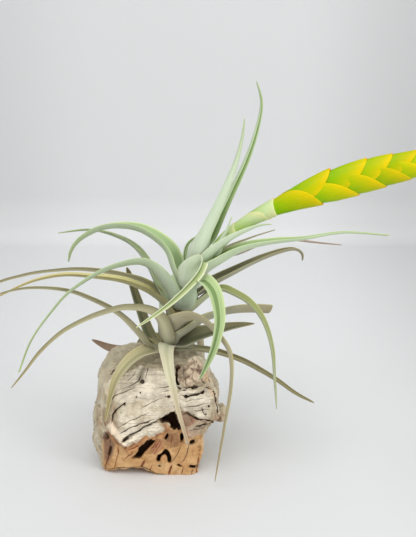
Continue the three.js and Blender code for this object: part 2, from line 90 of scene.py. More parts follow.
studio = {
    "target": (28.8, 0, 125),
    "distance": 600,
    "elevation": 18,
    "lens": 67.04,
    "sensor": 36,
    "floorHalfWidth": 1600,
    "floorFront": -1500,
    "wallAt": 505,
    "wallHeight": 1700,
    "joinRadius": 45,
    "joinSteps": 10,
    "backdropTone": (213, 214, 214),
    "floorTone": (224, 225, 225),
    "wallFoot": (0.0, 0.02),
    "sideShades": ((0.11, 0.27, 0.8), (-0.08, -0.22, 0.9)),
    "frontShade": (0.06, -0.03, 0.92),
    "fleckShade": 0.97,
    "fleckScale": 2.0,
    "cardRoughness": 0.7,
    "clip": (0.05, 10),         # metres
    "worldTone": (247, 248, 250),
    "worldStrength": 0.62,
    "keyAt": (-250, -600, 1250),
    "keySize": 1300,
    "keyPower": 11.1,
    "sideAt": (900, -700, 500),
    "sideSize": 700,
    "sidePower": 6,
}


def addCamera():
    data = bpy.data.cameras.new("studioCamera")
    data.sensor_width = studio["sensor"]
    data.lens = studio["lens"]
    data.clip_start, data.clip_end = studio["clip"]
    camera = bpy.data.objects.new("studioCamera", data)
    bpy.context.scene.collection.objects.link(camera)
    tilt = math.radians(studio["elevation"])
    back = Vector((0, -math.cos(tilt), math.sin(tilt)))
    camera.location = Vector(studio["target"]) * mm + back * studio["distance"] * mm
    camera.rotation_euler = (math.radians(90) - tilt, 0, 0)
    bpy.context.scene.camera = camera
    bpy.context.scene.view_settings.view_transform = "Standard"


def addLight(name, place, size, power):
    data = bpy.data.lights.new(name, "AREA")
    data.shape = "DISK"
    data.size = size * mm
    data.energy = power
    lamp = bpy.data.objects.new(name, data)
    bpy.context.scene.collection.objects.link(lamp)
    lamp.location = Vector(place) * mm
    aim = Vector(studio["target"]) * mm - lamp.location
    lamp.rotation_euler = aim.to_track_quat("-Z", "Y").to_euler()


def addWorld():
    world = bpy.data.worlds.new("paleRoom")
    world.use_nodes = True
    background = world.node_tree.nodes["Background"]
    background.inputs["Color"].default_value = tone(*studio["worldTone"])
    background.inputs["Strength"].default_value = studio["worldStrength"]
    bpy.context.scene.world = world


def addBackdrop():
    # the profile of floor, rounded join and wall, drawn out sideways
    bm = bmesh.new()
    radius = studio["joinRadius"]
    profile = [(studio["floorFront"], 0)]
    for step in range(studio["joinSteps"] + 1):
        angle = math.pi / 2 * step / studio["joinSteps"]
        profile.append((studio["wallAt"] - radius + radius * math.sin(angle),
                        radius - radius * math.cos(angle)))
    profile.append((studio["wallAt"], studio["wallHeight"]))
    left = [bm.verts.new(Vector((-studio["floorHalfWidth"], y, z)) * mm) for y, z in profile]
    edges = [bm.edges.new(pair) for pair in zip(left, left[1:])]
    drawn = bmesh.ops.extrude_edge_only(bm, edges=edges)
    moved = [item for item in drawn["geom"] if isinstance(item, bmesh.types.BMVert)]
    bmesh.ops.translate(bm, verts=moved, vec=Vector((2 * studio["floorHalfWidth"] * mm, 0, 0)))
    bm.normal_update()
    if sum(face.normal.z for face in bm.faces) < 0:
        bmesh.ops.reverse_faces(bm, faces=bm.faces)
    for face in bm.faces:
        face.smooth = True
    backdrop = finishMesh(bm, "backdrop", [backdropMaterial()])


def finishMesh(bm, name, materials):
    mesh = bpy.data.meshes.new(name)
    bm.to_mesh(mesh)
    bm.free()
    piece = bpy.data.objects.new(name, mesh)
    bpy.context.scene.collection.objects.link(piece)
    for material in materials:
        mesh.materials.append(material)
    return piece


# node helpers

def addNode(tree, kind, inputs=None, **settings):
    node = tree.nodes.new(kind)
    for key, value in settings.items():
        setattr(node, key, value)
    for key, value in (inputs or {}).items():
        if isinstance(value, bpy.types.NodeSocket):
            tree.links.new(value, node.inputs[key])
        else:
            node.inputs[key].default_value = value
    return node


def mixColours(tree, factor, first, second, blend="MIX"):
    # inputs 6 and 7 and output 2 are the node's colour sockets
    return addNode(tree, "ShaderNodeMix", {0: factor, 6: first, 7: second}, data_type="RGBA",
                   blend_type=blend, clamp_factor=True).outputs[2]


def calculate(tree, operation, first, second=0.0, third=0.0):
    return addNode(tree, "ShaderNodeMath", {0: first, 1: second, 2: third}, operation=operation).outputs[0]


def remap(tree, value, fromLow, fromHigh, toLow=0.0, toHigh=1.0):
    return addNode(tree, "ShaderNodeMapRange", {0: value, 1: fromLow, 2: fromHigh, 3: toLow, 4: toHigh},
                   interpolation_type="SMOOTHSTEP").outputs[0]


def stretched(tree, vector, scale, turn=(0, 0, 0)):
    turned = tuple(math.radians(angle) for angle in turn)
    inputs = {"Vector": vector, "Rotation": turned, "Scale": scale}
    return addNode(tree, "ShaderNodeMapping", inputs).outputs[0]


def noiseValue(tree, vector, scale, detail=2.0, roughness=0.5, distortion=0.0):
    node = addNode(tree, "ShaderNodeTexNoise", {
        "Vector": vector, "Scale": scale, "Detail": detail, "Roughness": roughness,
        "Distortion": distortion,
    })
    return node.outputs["Fac"]


def newGroup(name, inputs, outputs):
    tree = bpy.data.node_groups.new(name, "ShaderNodeTree")
    kinds = {"colour": "NodeSocketColor", "value": "NodeSocketFloat", "vector": "NodeSocketVector"}
    for socket, kind in inputs:
        tree.interface.new_socket(socket, in_out="INPUT", socket_type=kinds[kind])
    for socket, kind in outputs:
        tree.interface.new_socket(socket, in_out="OUTPUT", socket_type=kinds[kind])
    return tree, tree.nodes.new("NodeGroupInput").outputs, tree.nodes.new("NodeGroupOutput").inputs


def newMaterial(name):
    material = bpy.data.materials.new(name)
    material.use_nodes = True
    return material, material.node_tree, material.node_tree.nodes["Principled BSDF"]


def finishSurface(tree, shader, colour, roughness, height, strength, depth):
    # depth is the bump's, in metres
    bump = addNode(tree, "ShaderNodeBump", {"Height": height, "Strength": strength, "Distance": depth})
    for socket, value in (("Base Color", colour), ("Roughness", roughness), ("Normal", bump.outputs[0])):
        tree.links.new(value, shader.inputs[socket])


def backdropMaterial():
    # paler on the floor, with painted shade toward the sides and the front, and not there for a viewer
    # behind it
    material, tree, shader = newMaterial("paleCard")
    place = tree.nodes.new("ShaderNodeTexCoord").outputs["Object"]
    axes = addNode(tree, "ShaderNodeSeparateXYZ", {0: place}).outputs
    wall = remap(tree, axes[2], *studio["wallFoot"])
    base = mixColours(tree, wall, tone(*studio["floorTone"]), tone(*studio["backdropTone"]))
    shades = [(axes[0], *shade) for shade in studio["sideShades"]]
    for axis, start, end, share in shades + [(axes[1], *studio["frontShade"])]:
        base = mixColours(tree, remap(tree, axis, start, end), base, (share, share, share, 1), "MULTIPLY")
    fleckShade = studio["fleckShade"]
    darker = mixColours(tree, 1.0, base, (fleckShade, fleckShade, fleckShade, 1), "MULTIPLY")
    fleck = noiseValue(tree, place, studio["fleckScale"], 3.0)
    tree.links.new(mixColours(tree, fleck, base, darker), shader.inputs["Base Color"])
    shader.inputs["Roughness"].default_value = studio["cardRoughness"]
    behind = tree.nodes.new("ShaderNodeNewGeometry").outputs["Backfacing"]
    clear = tree.nodes.new("ShaderNodeBsdfTransparent").outputs[0]
    seen = addNode(tree, "ShaderNodeMixShader", {0: behind, 1: shader.outputs[0], 2: clear}).outputs[0]
    tree.links.new(seen, tree.nodes["Material Output"].inputs["Surface"])
    return material


# leaf skin: veins along the leaf, a bloom of pale scales, paler margins, a drying tip and painted shade
# along the middle crease

def makeLeafSkin():
    tree, given, put = newGroup("leafSkin", [
        ("Space", "vector"), ("Share", "vector"), ("Foot Colour", "colour"), ("Blade Colour", "colour"),
        ("Tip Colour", "colour"), ("Margin Colour", "colour"), ("Scale Colour", "colour"),
        ("Scales", "value"), ("Foot End", "value"), ("Tip Start", "value"), ("Streaks", "value"),
        ("Blotches", "value"), ("Margin Start", "value"), ("Midline", "value"),
    ], [("Colour", "colour"), ("Roughness", "value"), ("Height", "value")])
    share = addNode(tree, "ShaderNodeSeparateXYZ", {0: given["Share"]}).outputs
    edge = calculate(tree, "ABSOLUTE", share[0])
    space = given["Space"]
    broad = noiseValue(tree, stretched(tree, space, (0.25, 0.05, 1)), 1.0, 2.0)
    veins = noiseValue(tree, stretched(tree, space, (3.2, 0.05, 1)), 1.0, 3.0, 0.6)
    fineVeins = noiseValue(tree, stretched(tree, space, (8, 0.15, 1)), 1.0, 2.0)
    flecks = noiseValue(tree, stretched(tree, space, (7, 4, 1)), 1.0, 2.0, 0.7)
    patches = noiseValue(tree, stretched(tree, space, (0.5, 0.16, 1)), 1.0, 4.0, 0.65)

    wander = calculate(tree, "MULTIPLY_ADD", calculate(tree, "SUBTRACT", broad, 0.5), 0.35, share[1])
    fromFoot = addNode(tree, "ShaderNodeMapRange", {0: wander, 1: 0.0, 2: given["Foot End"]}).outputs[0]
    toTip = addNode(tree, "ShaderNodeMapRange", {0: wander, 1: given["Tip Start"], 2: 1.0}).outputs[0]
    colour = mixColours(tree, fromFoot, given["Foot Colour"], given["Blade Colour"])
    colour = mixColours(tree, toTip, colour, given["Tip Colour"])

    dark = mixColours(tree, 1.0, colour, (0.55, 0.58, 0.5, 1), "MULTIPLY")
    streak = calculate(tree, "MULTIPLY", remap(tree, veins, 0.42, 0.68), given["Streaks"])
    colour = mixColours(tree, streak, colour, dark)
    blotch = calculate(tree, "MULTIPLY", remap(tree, patches, 0.52, 0.72), given["Blotches"])
    colour = mixColours(tree, blotch, colour, given["Tip Colour"])
    # painted shade: the colour is darkened along the middle of the leaf, where its crease would lie in
    # shade
    fold = calculate(tree, "MULTIPLY", remap(tree, edge, 0.36, 0.04), given["Midline"])
    deep = mixColours(tree, 1.0, colour, (0.36, 0.45, 0.26, 1), "MULTIPLY")
    colour = mixColours(tree, fold, colour, deep)
    margin = addNode(tree, "ShaderNodeMapRange", {0: edge, 1: given["Margin Start"], 2: 1.0}).outputs[0]
    colour = mixColours(tree, calculate(tree, "MULTIPLY", margin, 0.85), colour, given["Margin Colour"])
    bloom = calculate(tree, "MULTIPLY", remap(tree, flecks, 0.35, 0.7), given["Scales"])
    bloom = calculate(tree, "MULTIPLY", bloom, remap(tree, broad, 0.2, 0.7, 0.45, 1.0))
    colour = mixColours(tree, bloom, colour, given["Scale Colour"])
    bright = calculate(tree, "MULTIPLY_ADD", share[2], 0.14, 1.0)
    level = addNode(tree, "ShaderNodeCombineColor", {0: bright, 1: bright, 2: bright}).outputs[0]
    colour = mixColours(tree, 1.0, colour, level, "MULTIPLY")
    tree.links.new(colour, put["Colour"])
    tree.links.new(remap(tree, flecks, 0.2, 0.8, 0.5, 0.78), put["Roughness"])
    height = calculate(tree, "MULTIPLY_ADD", veins, 0.7, calculate(tree, "MULTIPLY", fineVeins, 0.3))
    scaly = calculate(tree, "MULTIPLY", given["Scales"], 0.4)
    height = calculate(tree, "MULTIPLY_ADD", flecks, scaly, height)
    tree.links.new(height, put["Height"])
    return tree


leafSkin = makeLeafSkin()

# each finish: foot, blade, tip, margin and bloom tones, then how strongly each effect shows; blotches
# and the painted crease shade are none unless given
leafFinishes = {
    "silver": {
        "outer": dict(
            foot=(220, 225, 208), blade=(200, 216, 184), tip=(176, 194, 142), margin=(222, 232, 180),
            bloom=(226, 233, 214), scales=0.45, footEnd=0.22, tipStart=0.6, streaks=0.3),
        "inner": dict(
            foot=(208, 216, 182), blade=(186, 206, 156), tip=(168, 190, 124), margin=(232, 238, 190),
            bloom=(214, 224, 194), scales=0.3, footEnd=0.15, tipStart=0.6, streaks=0.35, midline=0.9),
    },
    "edged": {
        "outer": dict(
            foot=(220, 225, 208), blade=(200, 214, 176), tip=(190, 198, 140), margin=(236, 238, 196),
            bloom=(226, 233, 214), scales=0.45, footEnd=0.22, tipStart=0.6, streaks=0.3),
        "inner": dict(
            foot=(196, 206, 164), blade=(170, 184, 122), tip=(176, 184, 122), margin=(246, 246, 212),
            bloom=(206, 216, 180), scales=0.2, footEnd=0.15, tipStart=0.6, streaks=0.35, midline=1.0,
            marginStart=0.55),
    },
    "green": {
        "outer": dict(
            foot=(214, 221, 200), blade=(192, 212, 170), tip=(164, 186, 124), margin=(214, 228, 160),
            bloom=(220, 228, 208), scales=0.4, footEnd=0.18, tipStart=0.65, streaks=0.3),
        "inner": dict(
            foot=(186, 198, 158), blade=(158, 184, 128), tip=(148, 166, 120), margin=(226, 236, 170),
            bloom=(208, 222, 186), scales=0.25, footEnd=0.12, tipStart=0.65, streaks=0.4, midline=0.9,
            marginStart=0.8),
    },
    "grooved": {
        "outer": dict(
            foot=(206, 216, 196), blade=(186, 208, 168), tip=(160, 176, 128), margin=(216, 230, 176),
            bloom=(214, 224, 204), scales=0.4, footEnd=0.18, tipStart=0.75, streaks=0.3),
        "inner": dict(
            foot=(150, 184, 98), blade=(180, 202, 142), tip=(158, 178, 122), margin=(216, 230, 170),
            bloom=(196, 212, 164), scales=0.2, footEnd=0.22, tipStart=0.7, streaks=0.5, midline=2.8,
            marginStart=0.6),
    },
    "olive": {
        "outer": dict(
            foot=(190, 188, 168), blade=(162, 160, 130), tip=(146, 132, 94), margin=(196, 192, 124),
            bloom=(194, 194, 174), scales=0.4, footEnd=0.2, tipStart=0.45, streaks=0.4, blotches=0.35),
        "inner": dict(
            foot=(170, 166, 138), blade=(142, 140, 106), tip=(126, 114, 78), margin=(202, 198, 122),
            bloom=(174, 172, 140), scales=0.2, footEnd=0.12, tipStart=0.45, streaks=0.45, blotches=0.3,
            midline=0.75),
    },
    "banded": {
        "outer": dict(
            foot=(206, 216, 196), blade=(190, 210, 168), tip=(168, 178, 142), margin=(216, 230, 176),
            bloom=(214, 224, 204), scales=0.4, footEnd=0.18, tipStart=0.75, streaks=0.3),
        "inner": dict(
            foot=(138, 172, 88), blade=(108, 142, 56), tip=(150, 164, 116), margin=(212, 232, 178),
            bloom=(128, 158, 80), scales=0.15, footEnd=0.15, tipStart=0.75, streaks=0.4, midline=1.4,
            marginStart=0.5),
    },
    # a darker copy of the silver tones: painted shade for leaves whose upper face the key light lights too
    # brightly
    "shaded": {
        "outer": dict(
            foot=(192, 200, 180), blade=(158, 174, 138), tip=(164, 186, 116), margin=(184, 196, 142),
            bloom=(188, 198, 172), scales=0.4, footEnd=0.3, tipStart=0.5, streaks=0.45),
        "inner": dict(
            foot=(190, 200, 164), blade=(176, 188, 144), tip=(160, 180, 122), margin=(206, 214, 164),
            bloom=(190, 200, 162), scales=0.25, footEnd=0.15, tipStart=0.6, streaks=0.35, midline=0.35),
    },
    "striped": {
        "outer": dict(
            foot=(200, 198, 176), blade=(208, 201, 158), tip=(178, 162, 104), margin=(86, 80, 40),
            bloom=(206, 202, 172), scales=0.25, footEnd=0.2, tipStart=0.55, streaks=0.5, blotches=0.15,
            marginStart=0.2),
        "inner": dict(
            foot=(160, 158, 124), blade=(132, 128, 84), tip=(122, 110, 70), margin=(186, 180, 112),
            bloom=(164, 160, 124), scales=0.2, footEnd=0.12, tipStart=0.45, streaks=0.45, blotches=0.3,
            midline=1.0),
    },
    "golden": {
        "outer": dict(
            foot=(206, 208, 172), blade=(218, 210, 152), tip=(208, 184, 120), margin=(136, 126, 70),
            bloom=(216, 210, 168), scales=0.2, footEnd=0.3, tipStart=0.5, streaks=0.5, blotches=0.2,
            marginStart=0.45),
        "inner": dict(
            foot=(190, 200, 146), blade=(204, 196, 136), tip=(184, 162, 102), margin=(226, 218, 150),
            bloom=(206, 200, 152), scales=0.2, footEnd=0.12, tipStart=0.5, streaks=0.45, blotches=0.2,
            midline=0.8),
    },
    "faded": {
        "outer": dict(
            foot=(176, 180, 146), blade=(170, 178, 136), tip=(172, 182, 156), margin=(196, 196, 140),
            bloom=(188, 194, 166), scales=0.3, footEnd=0.2, tipStart=0.5, streaks=0.4, blotches=0.1),
        "inner": dict(
            foot=(150, 152, 104), blade=(136, 142, 86), tip=(150, 156, 116), margin=(204, 206, 138),
            bloom=(160, 164, 118), scales=0.2, footEnd=0.12, tipStart=0.45, streaks=0.45, blotches=0.1,
            midline=1.0),
    },
    "browned": {
        "outer": dict(
            foot=(178, 178, 150), blade=(152, 146, 104), tip=(136, 124, 76), margin=(170, 164, 96),
            bloom=(176, 174, 146), scales=0.3, footEnd=0.35, tipStart=0.6, streaks=0.45, blotches=0.35),
        "inner": dict(
            foot=(182, 180, 146), blade=(118, 108, 74), tip=(100, 90, 56), margin=(176, 168, 96),
            bloom=(156, 152, 118), scales=0.15, footEnd=0.35, tipStart=0.6, streaks=0.5, blotches=0.3,
            midline=1.2),
    },
    "straw": {
        "outer": dict(
            foot=(186, 182, 154), blade=(198, 190, 152), tip=(178, 158, 90), margin=(216, 208, 150),
            bloom=(208, 202, 176), scales=0.3, footEnd=0.25, tipStart=0.5, streaks=0.35, blotches=0.15),
        "inner": dict(
            foot=(158, 152, 120), blade=(190, 180, 138), tip=(176, 156, 84), margin=(220, 210, 152),
            bloom=(200, 192, 156), scales=0.2, footEnd=0.3, tipStart=0.5, streaks=0.4, blotches=0.1,
            midline=0.5),
    },
    "tan": {
        "outer": dict(
            foot=(198, 192, 168), blade=(186, 176, 140), tip=(164, 142, 94), margin=(214, 202, 124),
            bloom=(206, 200, 174), scales=0.35, footEnd=0.2, tipStart=0.5, streaks=0.4, blotches=0.35),
        "inner": dict(
            foot=(172, 162, 116), blade=(146, 136, 86), tip=(128, 108, 64), margin=(220, 208, 120),
            bloom=(182, 174, 128), scales=0.2, footEnd=0.12, tipStart=0.5, streaks=0.45, blotches=0.3,
            midline=0.6),
    },
    "cream": {
        "outer": dict(
            foot=(206, 206, 182), blade=(202, 197, 168), tip=(186, 162, 134), margin=(220, 216, 188),
            bloom=(216, 212, 192), scales=0.3, footEnd=0.3, tipStart=0.4, streaks=0.35, blotches=0.2),
        "inner": dict(
            foot=(204, 204, 176), blade=(198, 192, 160), tip=(184, 156, 124), margin=(220, 214, 182),
            bloom=(214, 210, 188), scales=0.2, footEnd=0.3, tipStart=0.4, streaks=0.35, blotches=0.2,
            midline=0.35),
    },
    "dry": {
        "outer": dict(
            foot=(186, 168, 148), blade=(188, 168, 148), tip=(160, 136, 116), margin=(200, 182, 160),
            bloom=(190, 176, 160), scales=0.3, footEnd=0.3, tipStart=0.5, streaks=0.5, blotches=0.4),
        "inner": dict(
            foot=(162, 140, 116), blade=(160, 136, 114), tip=(136, 110, 90), margin=(188, 166, 138),
            bloom=(158, 138, 116), scales=0.2, footEnd=0.3, tipStart=0.5, streaks=0.5, blotches=0.4),
    },
}


leafSurface = {"bump": 0.5, "bumpDepth": 0.0003, "Sheen Weight": 0.25, "Sheen Roughness": 0.5,
               "Specular IOR Level": 0.35}


def leafMaterial(name, finish, marginStart):
    material, tree, shader = newMaterial(name)
    values = {"Margin Start": marginStart}
    for socket, attribute in (("Space", "leafSpace"), ("Share", "leafShare")):
        source = addNode(tree, "ShaderNodeAttribute", attribute_name=attribute)
        values[socket] = source.outputs["Vector"]
    for socket, key in (("Foot", "foot"), ("Blade", "blade"), ("Tip", "tip"), ("Margin", "margin"),
                        ("Scale", "bloom")):
        values[socket + " Colour"] = tone(*finish[key])
    for socket, key in (("Scales", "scales"), ("Foot End", "footEnd"), ("Tip Start", "tipStart"),
                        ("Streaks", "streaks"), ("Blotches", "blotches"), ("Midline", "midline")):
        values[socket] = finish.get(key, 0.0)
    skin = addNode(tree, "ShaderNodeGroup", values, node_tree=leafSkin).outputs
    finishSurface(tree, shader, skin["Colour"], skin["Roughness"], skin["Height"], leafSurface["bump"],
                  leafSurface["bumpDepth"])
    for socket in ("Sheen Weight", "Sheen Roughness", "Specular IOR Level"):
        shader.inputs[socket].default_value = leafSurface[socket]
    return material


# where a pale margin starts, as a share of the half width, unless a finish says otherwise
backMargin, faceMargin = 0.94, 0.86
leafMaterials = {}
for family, sides in leafFinishes.items():
    leafMaterials[family] = [
        leafMaterial(f"{family}LeafBack", sides["outer"], sides["outer"].get("marginStart", backMargin)),
        leafMaterial(f"{family}LeafFace", sides["inner"], sides["inner"].get("marginStart", faceMargin)),
        leafMaterial(f"{family}LeafMargin", sides["outer"], 0.0),
    ]


# leaves

leafBuild = {
    "thickness": 0.95,          # mm at the middle of the leaf
    "marginShare": 0.22,        # of that at the margins
    "crease": 0.4,              # how far the round channel turns into a V
    "creaseGrown": 0.4,         # share of the leaf by which the V and the wobble have grown in
    "across": 12,
    "rowLength": 2.4,
    "routeSteps": 40,
    "tailRoll": 80,             # half angle of the channel at the tip, degrees
    "tailStart": 0.5,
    "tip": 0.8,
    "endWall": 0.55,            # wall at the tip, of that at the foot
    "footRise": 7,              # mm over which the rounded foot widens
    "footWrap": 0.3,
    "footTuck": 0.8,
    "widestWrap": 150,          # degrees to each side
    "smallestReach": 2,
    "rippleWidth": 8,           # mm of width at which the margins ripple fully
    "wobble": 0.45,
    "wobbleLength": 34,
    "ripple": 0.22,
    "rippleLength": 11,
    "seed": 7,
}
stemShape = {"foot": (2, 0, 66), "top": (21, 0, 126), "footRadius": 5.2, "topRadius": 3.2, "rings": 40,
             "sides": 32, "scars": 14, "scarDepth": 0.35, "scarSlant": 0.6, "roughDepth": 0.4,
             "roughRate": 12}

